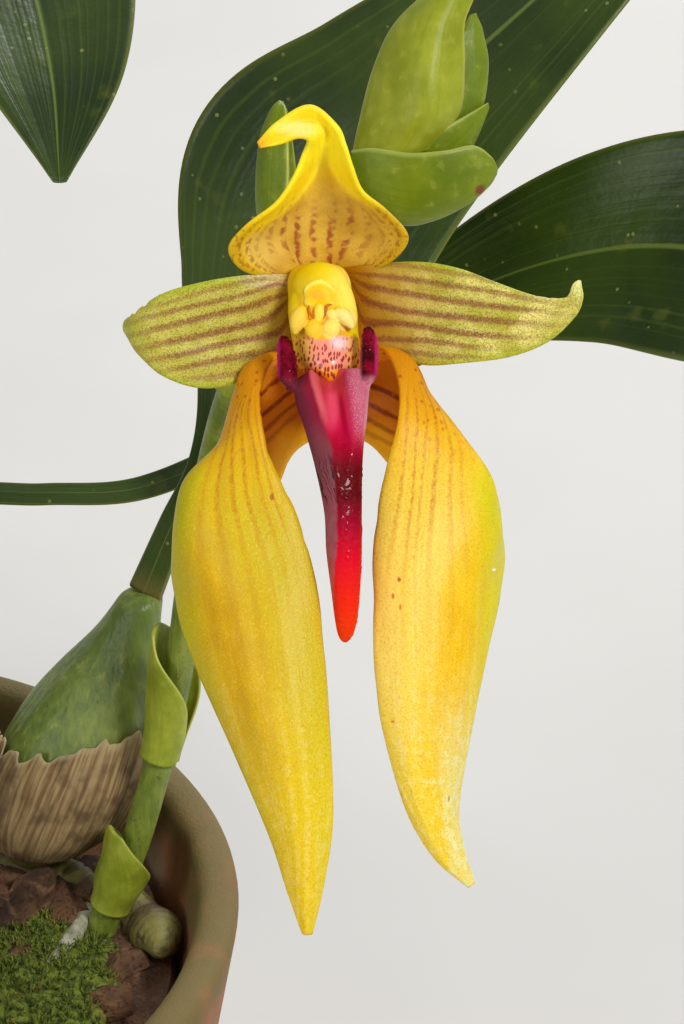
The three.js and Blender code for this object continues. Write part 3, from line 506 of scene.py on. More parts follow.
# %% Stem maker
def rings_to_skin(rings):
    """Skins a stack of rings and closes both ends."""
    count, sides = rings.shape[:2]
    n = np.arange(count * sides).reshape(count, sides)
    after = np.roll(n, -1, 1)
    faces = np.stack([n[:-1], after[:-1], after[1:], n[1:]], -1).reshape(-1, 4).tolist()
    faces += [n[0, ::-1].tolist(), n[-1].tolist()]
    return rings.reshape(-1, 3), faces


def stem(path, radius, sides, start=(1, 0, 0)):
    """Rings round a path. radius is a number, one for each ring, or one for each point."""
    path = np.asarray(path, float)
    ahead = unit(np.gradient(path, axis=0))
    side = np.asarray(start, float)
    rings = []
    radius = np.broadcast_to(np.asarray(radius, float).T, (sides, len(path))).T
    angle = all_round(sides)
    for k, way in enumerate(ahead):
        side = unit(side - way * (side @ way))
        up = np.cross(way, side)
        circle = np.outer(np.cos(angle), side) + np.outer(np.sin(angle), up)
        rings.append(path[k] + circle * radius[k][:, None])
    return rings_to_skin(np.stack(rings))


def lump(middle, sizes, turn=0.0, sides=20):
    """An egg, turned in the flower's plane by some degrees."""
    polar = np.linspace(0.04, math.pi - 0.04, sides)[:, None]
    angle = all_round(sides)
    ball = [np.sin(polar) * np.cos(angle), np.cos(polar), np.sin(polar) * np.sin(angle)]
    ball = np.stack(np.broadcast_arrays(*ball), -1) * sizes
    return rings_to_skin(ball @ turning(math.radians(turn), Z_AXIS).T + middle)


def melted(shape, voxel, passes):
    """Shapes that overlap, melted into one skin as flesh is."""
    lumped = new_object("melting", *shape)
    remesh = lumped.modifiers.new("melt", "REMESH")
    remesh.mode = "VOXEL"
    remesh.voxel_size = voxel * MM
    soften = lumped.modifiers.new("soften", "SMOOTH")
    soften.factor = 0.5
    soften.iterations = passes
    seen = lumped.evaluated_get(bpy.context.evaluated_depsgraph_get())
    result = bpy.data.meshes.new_from_object(seen)
    points, normals = np.empty((2, len(result.vertices), 3))
    result.vertices.foreach_get("co", points.reshape(-1))
    result.vertices.foreach_get("normal", normals.reshape(-1))
    faces = [list(face.vertices) for face in result.polygons]
    bpy.data.objects.remove(lumped)
    return points / MM, faces, normals


# %% [markdown]
# ## Veins and stripes
#
# The sepals and petals carry lengthwise stripes, each made of many small dots. Such stripes bend
# along their own paths, so each piece gets a second map. It numbers the veins, and says for every
# point which vein it lies on, with fractions between two veins, and how far along it. A stripe is
# then a narrow band round a whole number, and fine noise breaks it into dots.


# %% Veins and stripes
def vein_map(points, veins, way):
    """Numbers and shares for points. The veins run along x if way is 0 and along y if it is 1."""
    here, aside = points[:, way], points[:, 1 - way]
    places, shares = [], []
    for vein in veins:
        path = smooth_path(vein, even(60))
        order = np.argsort(path[:, way])
        places.append(np.interp(here, path[order, way], path[order, 1 - way]))
        shares.append((here - path[0, way]) / (path[-1, way] - path[0, way]))
    number = np.clip((aside - places[0]) / (places[1] - places[0]), -3, 0)
    number = number + np.clip((aside - places[-1]) / (places[-1] - places[-2]), 0, 3)
    for left, right in zip(places, places[1:]):
        number = number + np.clip((aside - left) / (right - left), 0, 1)
    nearest = np.clip(number, 0, len(veins) - 1)
    share = sum(np.maximum(0, 1 - abs(nearest - k)) * s for k, s in enumerate(shares))
    return np.stack([number, share], -1)


def stripes(place, bands, width):
    """A mask of stripes. Each band gives its place and its strength."""
    mask = None
    for middle, strength in bands:
        band = (1 - abs(place - middle).step(width * 0.2, width)) * strength
        mask = mask.most(band) if mask else band
    return mask


# %% [markdown]
# ## Petals
#
# The two side petals are olive yellow, with seven soft stripes of purple brown that bend down beside
# the column, and a fine dark speckle all over. They stand nearly flat, with the right one's
# tip hooked up. The surface glitters, because it is covered in tiny blisters, so the gloss is broken
# by a very fine bump.


# %% Petal finish
def petal_material(name, strengths, pale, tip):
    finish = Finish(name, (0.1, 1.0), Specular_IOR_Level=0.2)
    across, along, _ = finish.blade()
    number, share = finish.veins()
    here = finish.flower_place()
    slow = finish.noise(here, 2.4)
    grain = finish.noise(here, 0.15, 2)
    coarse = finish.noise(here, 0.3, 2)
    # Olive flesh, greener at the margins, paler at the tip and orange at the foot.
    finish.base = finish.mix((190, 176, 62), pale, slow.step(0.3, 0.7))
    finish.paint((164, 172, 40), coarse.step(0.5, 0.62) * 0.35)
    finish.paint((176, 186, 36), abs(across).step(0.74, 1.0) * 0.7)
    finish.paint(tip, along.step(0.68, 0.98) * 0.85)
    finish.base = finish.mix((178, 116, 0), finish.base, along.step(0.02, 0.34))
    # A painted highlight beside the column, and the fine dark speckle.
    painted_gleam = finish.patch(here, (-5.8, 4.1, 0.0), (2.6, 0.75, 6.0), 0.5) * coarse.step(0.3, 0.6)
    finish.paint((236, 208, 180), painted_gleam * 0.7)
    speckle = grain.step(0.48, 0.62) * along.step(0.08, 0.3) * (1 - along.step(0.75, 1.0) * 0.7) * 0.5
    finish.paint((94, 98, 16), speckle)
    # The stripes waver a little and fade towards the tip.
    sway = (coarse - 0.5) * 0.34 + (slow - 0.5) * 0.2
    band = stripes(number + sway, list(enumerate(strengths)), 0.35)
    fade = share.step(-0.06, 0.08) * (1 - share.step(0.72, 1.14) * 0.85)
    band = band * fade * (0.65 + grain.step(0.36, 0.56) * 0.35)
    finish.paint((126, 50, 40), band * 0.82)
    finish.set("Roughness", 0.5 - grain * 0.24)
    return finish.done((grain, 0.04), (coarse, 0.05), (1 - band, 0.05))


petal_left_finish = petal_material(
    "petal_left", [0.6, 0.85, 0.95, 1, 1, 0.9, 0.65], (212, 196, 92), (190, 190, 72)
)
petal_right_finish = petal_material(
    "petal_right", [0.65, 0.85, 0.95, 1, 1, 0.9, 0.7], (238, 220, 122), (255, 246, 160)
)

# %% Petals
PETAL_LEFT = [
    [[-1.6, 4.6, -3.6], [-1.8, 0.2, -4.4], [-1.6, -3.4, -3.6]],
    [[-4.4, 4.7, -1.2], [-4.6, -0.2, -2.6], [-4.8, -3.5, -2.8]],
    [[-8.6, 4.35, 0.4], [-8.8, -0.9, -1.2], [-8.4, -6.0, -1.6]],
    [[-12.6, 3.65, 1.0], [-12.8, -1.2, 0.2], [-12.2, -6.8, 0.2]],
    [[-16.2, 2.7, 0.4], [-16.2, -1.5, 0.4], [-16.0, -5.7, 0.4]],
    [[-18.8, 1.1, -1.2], [-18.9, -1.2, -0.6], [-18.6, -3.4, -0.8]],
    [[-20.1, 0.2, -2.6], [-20.3, -0.6, -2.6], [-20.0, -1.3, -2.6]],
]
PETAL_RIGHT = [
    [[1.4, 5.4, -3.6], [1.6, 0.8, -4.4], [1.6, -2.8, -3.6]],
    [[4.8, 5.7, -1.0], [5.4, 0.8, -2.2], [5.9, -3.0, -2.6]],
    [[9.4, 5.8, 0.6], [9.8, 0.8, -0.8], [9.6, -4.4, -1.0]],
    [[13.4, 5.1, 1.2], [13.8, 0.8, 0.6], [13.8, -4.3, 0.6]],
    [[17.4, 3.6, 1.4], [17.8, 0.6, 1.4], [18.4, -3.7, 1.0]],
    [[20.8, 2.4, 1.2], [21.4, 0.6, 1.4], [22.2, -2.2, 0.8]],
    [[23.5, 2.05, 0.8], [24.2, 1.2, 1.0], [24.8, 0.2, 0.6]],
    [[24.45, 2.45, 0.9], [25.0, 2.2, 1.1], [25.6, 2.0, 0.8]],
    [[24.8, 3.4, 1.1], [25.15, 3.4, 1.2], [25.5, 3.3, 1.0]],
    [[25.3, 3.9, 1.2], [25.4, 3.92, 1.25], [25.5, 3.9, 1.2]],
]
PETAL_LEFT_DENTS = [[-1, 0.77, 0.015, 0.22], [-1, 0.85, 0.02, 0.3], [-1, 0.92, 0.015, 0.2]]
PETAL_RIGHT_DENTS = [[-1, 0.56, 0.01, 0.15], [-1, 0.605, 0.01, 0.25], [-1, 0.645, 0.008, 0.15]]
PETAL_LEFT_VEINS = [
    [[-5.6, 4.3], [-10.7, 3.2], [-16.8, 1.4]],
    [[-3.6, 3.7], [-5.0, 3.7], [-8.6, 2.4], [-17.1, 0.5], [-19.6, -0.2]],
    [[-3.6, 2.7], [-5.0, 2.4], [-7.8, 1.4], [-15.3, -0.5], [-19.4, -1.5]],
    [[-3.4, 2.5], [-4.1, 1.8], [-5.4, 0.5], [-7.4, -0.4], [-10.4, -1.1], [-13.8, -1.9], [-18.6, -2.8]],
    [[-3.4, 1.4], [-4.0, -0.3], [-4.7, -1.2], [-6.4, -1.6], [-10.0, -2.3], [-13.6, -3.3], [-17.8, -4.1]],
    [[-3.6, -2.6], [-5.0, -3.0], [-8.6, -3.6], [-12.1, -4.3], [-16.4, -5.3]],
    [[-6.5, -4.8], [-10.7, -5.6], [-14.6, -5.9]],
]
PETAL_RIGHT_VEINS = [
    [[6.4, 5.6], [8.4, 5.4], [14.2, 4.4], [18.0, 3.6]],
    [[2.6, 4.9], [7.0, 4.3], [14.2, 3.2], [23.3, 1.5]],
    [[2.6, 4.4], [3.6, 3.8], [5.0, 3.3], [8.8, 2.6], [14.2, 1.7], [23.3, 0.6]],
    [[2.7, 3.9], [3.2, 3.0], [3.8, 2.3], [5.3, 1.6], [8.0, 0.9], [12.4, 0.4], [22.0, -0.6]],
    [[2.8, 2.6], [3.3, 1.2], [3.8, 0.0], [4.8, -0.3], [7.5, -0.2], [14.2, -1.4], [20.6, -1.9]],
    [[3.4, -1.6], [4.8, -1.8], [10.6, -2.1], [16.1, -3.0]],
    [[6.9, -3.0], [12.4, -3.6], [16.1, -3.7]],
]


def dented(grid, dents):
    """Small dents in the margins. Each gives its side, its place along, its length and its depth."""
    rows, columns = grid.shape[:2]
    s = even(rows)[:, None, None]
    v = np.linspace(-1, 1, columns)[None, :, None]
    middle = grid[:, [columns // 2]]
    for side, place, length, depth in dents:
        dent = depth * np.exp(-(((s - place) / length) ** 2)) * np.clip(side * v, 0, 1) ** 6
        grid = grid + unit(middle - grid) * dent
    return grid


def tepal(name, stations, finish, slot, size, thick, swell, seed, veins=(), way=1, dents=()):
    """A petal or sepal over its rails, with soft swellings along its veins.

    size is its rows and columns, and thick its thickness in the middle and at the margins.
    """
    rows, columns = size
    grid = dented(sheet(stations, rows, columns), dents)
    v = np.linspace(-1, 1, columns)[None, :]
    s = even(rows)[:, None]
    stretched = np.stack(np.broadcast_arrays(v * 9, s * 9, 0 * v), -1)
    rise = swell * lumps(stretched * [1, 0.35, 1], 5, seed) * np.sin(math.pi * s) ** 0.5
    grid = grid + facing(grid) * rise[..., None]
    thickness = thin_edge(*size, *thick) * np.minimum(1, 0.3 + 4 * (1 - s))
    points, faces, *maps = skin(grid, thickness)
    if len(veins):
        maps.append(vein_map(points, veins, way)[faces].reshape(-1, 2))
    return flower_piece(name, (points, faces, *maps), finish, slot, name)


PETALS = {  # rails, finish, seed, veins and dents
    "petal_left": (PETAL_LEFT, petal_left_finish, 5, PETAL_LEFT_VEINS, PETAL_LEFT_DENTS),
    "petal_right": (PETAL_RIGHT, petal_right_finish, 6, PETAL_RIGHT_VEINS, PETAL_RIGHT_DENTS),
}
for name, (stations, finish, seed, veins, dents) in PETALS.items():
    tepal(name, stations, finish, "petal", (160, 44), (0.7, 0.22), 0.08, seed, veins, 0, dents)

# %% [markdown]
# ## Upper sepal
#
# The sepal over the column is a hood: broad and cupped at its foot, with its margins turned forward,
# and drawn out into a hooked tip that points left. It is tan in the cup, with seven rows of dark
# dashes, and clear yellow on the margins and the hook.

# %% Upper sepal finish
dorsal = Finish("dorsal_sepal", (0.15, 1.5), Specular_IOR_Level=0.2)
across, along, _ = dorsal.blade()
number, share = dorsal.veins()
here = dorsal.flower_place()
slow = dorsal.noise(here, 2.5)
fine = dorsal.noise(here, 0.16, 3)
mottle = dorsal.noise(here, 0.5, 2)
# Clear yellow for the margins and the hook, and tan for the cup.
yellow = dorsal.mix((250, 210, 8), (255, 226, 26), slow)
yellow = dorsal.mix(yellow, (250, 168, 24), along.step(0.93, 1.0) * 0.8)
cup = dorsal.mix((208, 162, 52), (226, 186, 70), slow.step(0.3, 0.7))
cup = dorsal.mix(cup, (186, 128, 40), fine.step(0.5, 0.66) * 0.35)
# A painted pool of light on the left lobe of the cup.
lit = dorsal.patch(here, (-6.4, 6.9, 1.5), (2.6, 1.8, 5.0), 0.6)
cup = dorsal.mix(cup, (238, 200, 96), lit * 0.7)
cup = dorsal.mix(cup, (226, 188, 10), along.step(0.34, 0.52) * 0.85)
cup = dorsal.mix(cup, (250, 206, 30), dorsal.patch(here, (0.2, 4.8, 0), (3.6, 1.1, 8.0), 0.5) * 0.8)
# The tan reaches the margins at the foot, and narrows to nothing under the hook.
right = across.step(-0.1, 0.1)
reach = 0.97 - (along - right * 0.06).step(0.2, 0.6) * 0.95
inside = (reach - abs(across) + right * 0.06).step(-0.1, 0.2)
dorsal.base = dorsal.mix(yellow, cup, inside)
# Painted glow of light through the thin neck above the cup.
dorsal.paint((255, 238, 40), along.step(0.44, 0.56) * (1 - along.step(0.68, 0.8)) * 0.7)
# A pale line round the tan, painted as the highlight on the folded margin, an olive hem at the foot,
# and a painted highlight on the hook.
# The pale line is a painted highlight on the fold of the margin.
rim = 1 - abs(abs(across) - reach - 0.08).step(0.02, 0.14)
rim = rim * along.step(0.3, 0.42) * (1 - along.step(0.52, 0.62))
dorsal.paint((255, 238, 92), rim * (0.4 - right * 0.2))
hem = abs(across).step(0.84, 0.96) * (1 - along.step(0.26, 0.4))
dorsal.paint((208, 164, 18), hem * 0.85)
dorsal.paint((116, 66, 10), hem * mottle.step(0.58, 0.66) * 0.5)
# A painted highlight on the top of the hook.
dorsal.paint((255, 247, 160), dorsal.patch(here, (-2.6, 18.6, 6.0), (1.8, 0.7, 4.0), 0.7) * 0.6)
# The rows of dashes, with drops along each vein.
drops = dorsal.noise(dorsal.vector(number * 1.7, share * 15, 2.0), 1.0, 0)
strength = [0.5, 0.9, 1, 0.9, 1, 0.95, 0.5]
band = stripes(number + (mottle - 0.5) * 0.3, list(enumerate(strength)), 0.34)
tall = share.step(-0.02, 0.04) * (1 - share.step(0.36, 0.75) * 0.9)
spots = band * (0.12 + drops.step(0.4, 0.58) * 0.88) * (0.6 + mottle.step(0.3, 0.5) * 0.4) * tall
dorsal.paint((150, 42, 44), spots * 0.8)
# Broken arcs beside the lower margins.
arcs = stripes(abs(across), [(0.93, 0.7), (0.84, 0.8), (0.75, 0.45)], 0.04)
arcs = arcs * mottle.step(0.4, 0.56) * along.step(0.03, 0.08) * (1 - along.step(0.24, 0.38))
dorsal.paint((136, 66, 30), arcs * 0.75)
dorsal.set("Roughness", 0.46 - fine * 0.16)
dorsal_finish = dorsal.done((fine, 0.03), (slow, 0.12), (1 - spots, 0.04))

# %% Upper sepal
DORSAL_SEPAL = [
    [[-3.0, 4.2, -4.0], [0.0, 4.8, -5.0], [2.8, 4.4, -4.0]],
    [[-7.8, 4.75, 0.6], [-0.3, 6.6, -3.5], [6.4, 5.7, 0.6]],
    [[-9.5, 6.8, 3.5], [-0.4, 8.8, -2.5], [8.2, 8.0, 3.5]],
    [[-7.9, 9.0, 4.5], [-0.5, 10.8, -1.5], [6.2, 10.5, 4.5]],
    [[-4.9, 11.2, 4.5], [-0.6, 13.2, -0.5], [3.8, 12.4, 4.5]],
    [[-3.1, 13.8, 4.0], [-0.4, 15.6, 0.5], [2.7, 14.9, 4.5]],
    [[-2.15, 16.1, 4.0], [0.0, 17.4, 2.4], [2.0, 16.9, 5.0]],
    [[-1.7, 17.45, 5.0], [0.1, 18.9, 3.2], [1.1, 18.7, 5.0]],
    [[-2.9, 17.6, 6.5], [-2.0, 19.4, 4.6], [-1.4, 20.85, 5.5]],
    [[-4.5, 16.95, 7.5], [-4.5, 18.2, 6.2], [-4.6, 19.2, 6.5]],
    [[-6.3, 16.55, 8.0], [-6.5, 16.85, 7.6], [-6.55, 17.15, 7.6]],
]
DORSAL_VEINS = [
    [[-5.0, 6.2], [-5.6, 8.0], [-5.2, 9.4], [-4.0, 11.4], [-2.4, 15.5]],
    [[-2.9, 5.6], [-3.8, 7.2], [-4.2, 8.4], [-4.1, 9.8], [-3.2, 12.0], [-1.8, 15.5]],
    [[-2.4, 5.4], [-2.8, 6.6], [-2.8, 8.6], [-2.7, 10.4], [-2.2, 13.0], [-1.2, 15.5]],
    [[-1.2, 5.4], [-1.2, 8.4], [-1.1, 10.5], [-0.9, 13.1], [-0.6, 15.5]],
    [[0.6, 5.4], [0.5, 7.2], [0.5, 8.5], [0.8, 10.4], [0.8, 13.0], [0.2, 15.5]],
    [[1.1, 5.6], [1.8, 7.4], [2.4, 9.0], [2.6, 10.6], [2.0, 13.0], [0.9, 15.5]],
    [[3.0, 6.0], [4.3, 8.2], [4.4, 9.6], [3.6, 11.8], [1.6, 15.5]],
]
sepal = "dorsal_sepal"
tepal(sepal, DORSAL_SEPAL, dorsal_finish, sepal, (130, 52), (1.0, 0.24), 0.04, 7, DORSAL_VEINS)

# %% [markdown]
# ## Hanging sepals
#
# The two lower sepals are the flower's largest pieces. Each leaves the foot of the column behind the
# lip with its striped inner face forward, folds outwards round a rounded bay, and hangs down in
# front of itself, so that from then on its golden outer face shows. The skin's map keeps the two
# faces apart, so one finish can give the inner face bold maroon stripes on dark orange, and the
# outer face thin broken veins on gold that turns green towards the outer margin.

# %% Hanging sepal finish
# The height of each inner stripe 6 mm from the flower's middle, and its strength. They slant from there.
INNER_STRIPES = [(-7.0, 1), (-9.1, 0.95), (-10.7, 0.7), (-12.0, 0.45)]


def hanging_material(name, strengths, shades, front, seed, marks):
    """front is 1 if the skin's front is the golden outer face, and 0 if its back is."""
    deep, bright, cream, green = shades
    finish = Finish(name, (0.15, 1.5), Specular_IOR_Level=0.18)
    across, along, back = finish.blade()
    number, share = finish.veins()
    here = finish.flower_place()
    slow = finish.noise(here, 3.5)
    patch = finish.noise(here, 0.9, 2)
    fine = finish.noise(here, 0.2, 3)
    pleat = finish.noise(finish.vector(number * 1.5, share * 2.4, seed), 1.0, 2)
    # The golden outer face, with painted shade along the pleats, pale inwards, green outwards and orange on
    # the shoulder.
    gold = finish.mix(deep, bright, (slow * 0.35 + pleat * 0.65).step(0.3, 0.7))
    finish.base = finish.mix(gold, cream, (0 - across).step(-0.4, 0.7) * share.step(0.06, 0.4))
    finish.paint((236, 208, 30), share.step(0.55, 0.95) * 0.6)
    beyond = (number - 5 * front) * (2 * front - 1)
    lime = (beyond + (slow - 0.5) * 0.8).step(-0.4, 1.3 + 1.3 * front) * share.step(0.08, 0.26)
    finish.paint(green, lime * (1 - share.step(0.7, 0.95) * front) * 0.9)
    finish.paint((216, 128, 12), (1 - share.step(-0.08, 0.22)) * 0.85)
    # Painted highlights on the crinkles low down, and the grain of the skin.
    crinkle_highlights = (pleat * 0.5 + patch * 0.5).step(0.48, 0.64) * share.step(0.45, 0.9) * (0.2 + 0.35 * front)
    finish.paint((250, 232, 150), crinkle_highlights)
    chalky = (number - 2.4).step(0.0, 2.0) * share.step(0.58, 0.85) * front
    finish.paint((232, 230, 160), chalky * (0.4 + patch.step(0.4, 0.6) * 0.3))
    finish.paint((206, 140, 4), fine.step(0.5, 0.66) * 0.35)
    # Small bright specks in the grain are painted glints.
    finish.paint((255, 236, 130), (1 - fine.step(0.34, 0.42)) * share.step(0.1, 0.3) * 0.2)
    # Thin broken veins on the upper half, and single specks.
    thin = stripes(number + (patch - 0.5) * 0.3, list(enumerate(strengths)), 0.24)
    dotted = (finish.noise(here, 0.32, 1) * 0.6 + patch * 0.4).step(0.42, 0.6)
    upper = share.step(-0.02, 0.04) * (1 - share.step(0.2, 0.44))
    finish.paint((178, 76, 18), thin * (0.3 + dotted * 0.7) * upper * 0.55)
    finish.paint((206, 148, 12), thin * share.step(0.1, 0.3) * (1 - share.step(0.4, 0.7)) * 0.25)
    speck = 1 - (finish.cells(here, 1.1) - 0.1 * patch).step(0.1, 0.2)
    speck = speck * (1 - share.step(-0.02, 0.22) * 0.9)
    finish.paint((186, 52, 22), speck * 0.7)
    for middle, sizes, shade in marks:
        finish.paint(shade, finish.patch(here, middle, sizes) * 0.85)
    # The inner face has bold stripes on dark orange, and a bright margin that rolls over.
    x, y, _ = finish.parts(here)
    slanted = y + (abs(x) - 6.0) * (0.85 - 0.35 * front)
    bold = stripes(slanted + (slow - 0.5) * 0.8 + (patch - 0.5) * 0.3, INNER_STRIPES, 0.46)
    bold = bold * (0.5 + patch.step(0.3, 0.5) * 0.5) * (1 - along.step(0.34, 0.5))
    cup = finish.mix((206, 122, 16), (236, 156, 14), slow)
    cup = finish.mix(cup, (255, 200, 24), across.step(0.66, 0.92))
    inner = finish.mix(cup, (132, 36, 10), bold * 0.85)
    rolled = (0 - across).step(0.4, 0.56) * (1 - along.step(0.12, 0.2))
    inner = finish.mix(inner, finish.mix((250, 164, 20), (176, 50, 14), speck), rolled)
    finish.base = finish.mix(inner, finish.base, abs(back - front))
    finish.set("Roughness", 0.44 - fine * 0.14)
    return finish.done((fine, 0.045), (patch, 0.07), (pleat, 0.12), (slow, 0.2))


SHADES_LEFT = (210, 158, 0), (238, 190, 0), (208, 186, 36), (182, 178, 0)
SHADES_RIGHT = (236, 182, 0), (252, 206, 30), (251, 214, 88), (212, 204, 0)
MARKS_LEFT = [((-5.2, -17.7, 5), (0.2, 0.34, 5), (176, 92, 10))]
MARKS_RIGHT = [
    ((16.8, -24.9, -1), (0.26, 0.16, 5), (255, 255, 240)),
    ((7.3, -25.8, 6), (0.2, 0.24, 5), (190, 66, 20)),
    ((6.7, -27.4, 6), (0.16, 0.3, 5), (206, 96, 40)),
    ((7.4, -28.5, 6), (0.12, 0.3, 5), (206, 110, 50)),
    ((6.65, -39.7, 7), (0.18, 0.14, 5), (232, 104, 50)),
    ((12.2, -47.3, 6), (0.1, 0.3, 5), (160, 146, 70)),
]
hanging_left_finish = hanging_material(
    "lateral_sepal_left", [0.5, 1, 0.95, 0.9, 0.8, 0.6], SHADES_LEFT, 0, 3.0, MARKS_LEFT
)
hanging_right_finish = hanging_material(
    "lateral_sepal_right", [0.9, 1, 0.8, 1, 0.7, 0.4], SHADES_RIGHT, 1, 8.0, MARKS_RIGHT
)

# %% Hanging sepals
LATERAL_SEPAL_LEFT = [
    [[-2.6, -2.4, -4.4], [-1.4, -7.0, -5.8], [-0.8, -11.6, -5.2]],
    [[-4.9, -3.8, -0.5], [-7.2, -5.7, -2.0], [-2.6, -12.6, -5.8]],
    [[-6.3, -6.8, 2.2], [-8.7, -8.4, -1.0], [-3.8, -14.0, -6.5]],
    [[-6.2, -10.0, 4.5], [-10.4, -13.2, 0.0], [-5.2, -16.8, -7.0]],
    [[-5.2, -14.2, 5.0], [-13.9, -16.7, 2.0], [-8.8, -20.4, -6.0]],
    [[-3.2, -18.4, 5.5], [-13.0, -21.0, 4.6], [-14.8, -23.6, -3.0]],
    [[-1.6, -23.4, 6.0], [-8.8, -26.4, 6.5], [-14.8, -28.4, 0.0]],
    [[-0.5, -29.2, 6.5], [-6.8, -32.2, 8.0], [-13.1, -33.8, 2.0]],
    [[0.3, -39.4, 7.0], [-4.4, -41.2, 9.0], [-9.0, -42.8, 4.0]],
    [[0.7, -49.0, 7.0], [-2.4, -50.0, 8.5], [-5.4, -51.0, 6.0]],
    [[-0.1, -55.6, 6.5], [-1.9, -56.3, 7.5], [-3.6, -56.6, 6.0]],
    [[-1.2, -60.7, 6.0], [-1.7, -60.8, 6.2], [-2.2, -60.7, 6.0]],
]
LATERAL_SEPAL_RIGHT = [
    [[3.4, -2.0, -4.4], [2.8, -7.0, -5.8], [2.0, -11.4, -5.2]],
    [[6.0, -3.1, -0.8], [8.2, -5.3, -2.2], [4.4, -12.2, -5.8]],
    [[7.3, -6.5, 2.6], [10.4, -8.4, -1.2], [6.4, -14.2, -6.5]],
    [[7.2, -10.2, 4.5], [13.5, -12.0, 0.0], [8.6, -17.0, -7.0]],
    [[6.2, -14.2, 5.0], [16.2, -16.2, 2.0], [13.2, -20.4, -6.0]],
    [[5.3, -18.6, 5.5], [14.9, -20.4, 5.0], [17.6, -22.4, -3.0]],
    [[4.85, -23.8, 6.0], [11.6, -26.2, 7.0], [17.45, -27.4, 0.0]],
    [[4.9, -30.2, 6.5], [10.8, -32.2, 8.0], [16.2, -32.8, 2.0]],
    [[5.4, -38.2, 7.0], [10.0, -40.2, 8.5], [14.6, -40.2, 4.0]],
    [[7.8, -47.4, 7.0], [10.6, -48.4, 8.0], [13.2, -48.2, 5.0]],
    [[10.6, -52.8, 6.5], [12.2, -53.0, 7.0], [13.7, -52.2, 6.0]],
    [[14.1, -56.1, 6.0], [14.4, -56.0, 6.2], [14.8, -55.7, 6.0]],
]
VEIN_HEIGHTS = [-6.2, -9.5, -13.0, -17.5, -22.5, -28.0, -42.0, -52.5]
VEINS_LEFT = [  # x at each of the heights
    [-7.8, -9.5, -10.8, -12.1, -12.3, -11.8, -8.3, -4.4],
    [-7.7, -9.2, -9.9, -10.7, -10.0, -9.0, -6.2, -3.6],
    [-7.5, -8.8, -9.2, -9.0, -8.0, -6.7, -4.4, -2.9],
    [-7.3, -8.3, -8.0, -7.7, -6.2, -4.9, -2.8, -2.2],
    [-7.1, -7.6, -6.9, -6.2, -4.6, -3.4, -1.5, -1.5],
    [-6.9, -6.8, -6.2, -5.1, -3.4, -2.2, -0.4, -0.9],
]
VEINS_RIGHT = [
    [8.3, 8.1, 7.9, 7.4, 6.6, 6.0, 7.0, 10.9],
    [8.8, 9.2, 9.0, 8.7, 8.1, 7.7, 8.2, 11.3],
    [9.3, 10.1, 9.8, 9.4, 9.0, 8.8, 9.4, 11.7],
    [9.7, 10.9, 11.1, 10.7, 10.2, 10.1, 10.6, 12.1],
    [10.1, 11.7, 12.5, 12.4, 12.5, 12.5, 11.9, 12.5],
    [10.4, 12.2, 13.5, 13.5, 13.9, 13.9, 13.1, 12.9],
]
DENTS_LEFT = [
    [-1, 0.34, 0.015, 0.14],
    [-1, 0.43, 0.02, 0.14],
    [-1, 0.52, 0.015, 0.12],
    [-1, 0.66, 0.02, 0.1],
]
DENTS_RIGHT = [[-1, 0.48, 0.02, 0.12], [-1, 0.6, 0.03, 0.22], [-1, 0.71, 0.02, 0.14]]
HANGING = {  # rails, finish, seed, veins and dents
    "lateral_sepal_left": (LATERAL_SEPAL_LEFT, hanging_left_finish, 8, VEINS_LEFT, DENTS_LEFT),
    "lateral_sepal_right": (LATERAL_SEPAL_RIGHT, hanging_right_finish, 9, VEINS_RIGHT, DENTS_RIGHT),
}
for name, (stations, finish, seed, veins, dents) in HANGING.items():
    paths = [np.stack([vein, VEIN_HEIGHTS], -1) for vein in veins]
    tepal(name, stations, finish, "lateral_sepal", (180, 60), (0.9, 0.3), 0.14, seed, paths, 1, dents)

# %% [markdown]
# ## Column
#
# The column is the fleshy middle of the flower. Seen in the face it is a yellow hood with its margins
# turned forward. They end in two pale pointed arms, and two rounded lobes lie between the arms. Under
# them the column's foot bulges forward like a shield, salmon pink with dark red dashes, down to a
# point on the lip. Flesh like this has no sharp joints, so its lumps are modelled one by one and then
# melted together.

# %% Column shape
COLUMN = [  # y, middle x, half width, middle z, half depth
    [5.7, -0.7, 1.7, -1.6, 1.1],
    [5.2, -0.7, 2.6, -1.4, 2.0],
    [4.0, -0.6, 3.15, -1.0, 3.0],
    [2.4, -0.5, 3.2, -0.8, 3.6],
    [0.8, -0.25, 3.45, -0.6, 3.75],
    [-0.9, -0.1, 3.4, -0.6, 3.8],
    [-2.5, 0.15, 3.35, -0.3, 4.2],
    [-4.0, 0.25, 3.25, 0.1, 4.5],
    [-5.0, 0.35, 2.7, 0.3, 4.4],
    [-5.9, 0.5, 1.5, 0.5, 4.1],
    [-6.6, 0.55, 0.8, 0.2, 3.5],
    [-7.2, 0.5, 0.8, -1.2, 2.4],
    [-9.4, 0.6, 1.1, -4.0, 1.5],
    [-11.8, 0.7, 0.8, -4.5, 0.9],
]


def stacked(stations, rows, sides):
    """Flat oval rings, one above the other, from rows of y, x, half width, z and half depth."""
    y, x, width, z, depth = smooth_path(stations, even(rows)).T[:, :, None]
    angle = all_round(sides)
    flat = [x + width * np.cos(angle), y + 0 * angle, z + depth * np.sin(angle)]
    return np.stack(flat, -1)


def limb(points, radii, rows=40, sides=16):
    """A rounded limb of the flesh, from given points and radii."""
    return stem(smooth_path(points, even(rows)), spread(radii, rows), sides, (0, 0, 1))


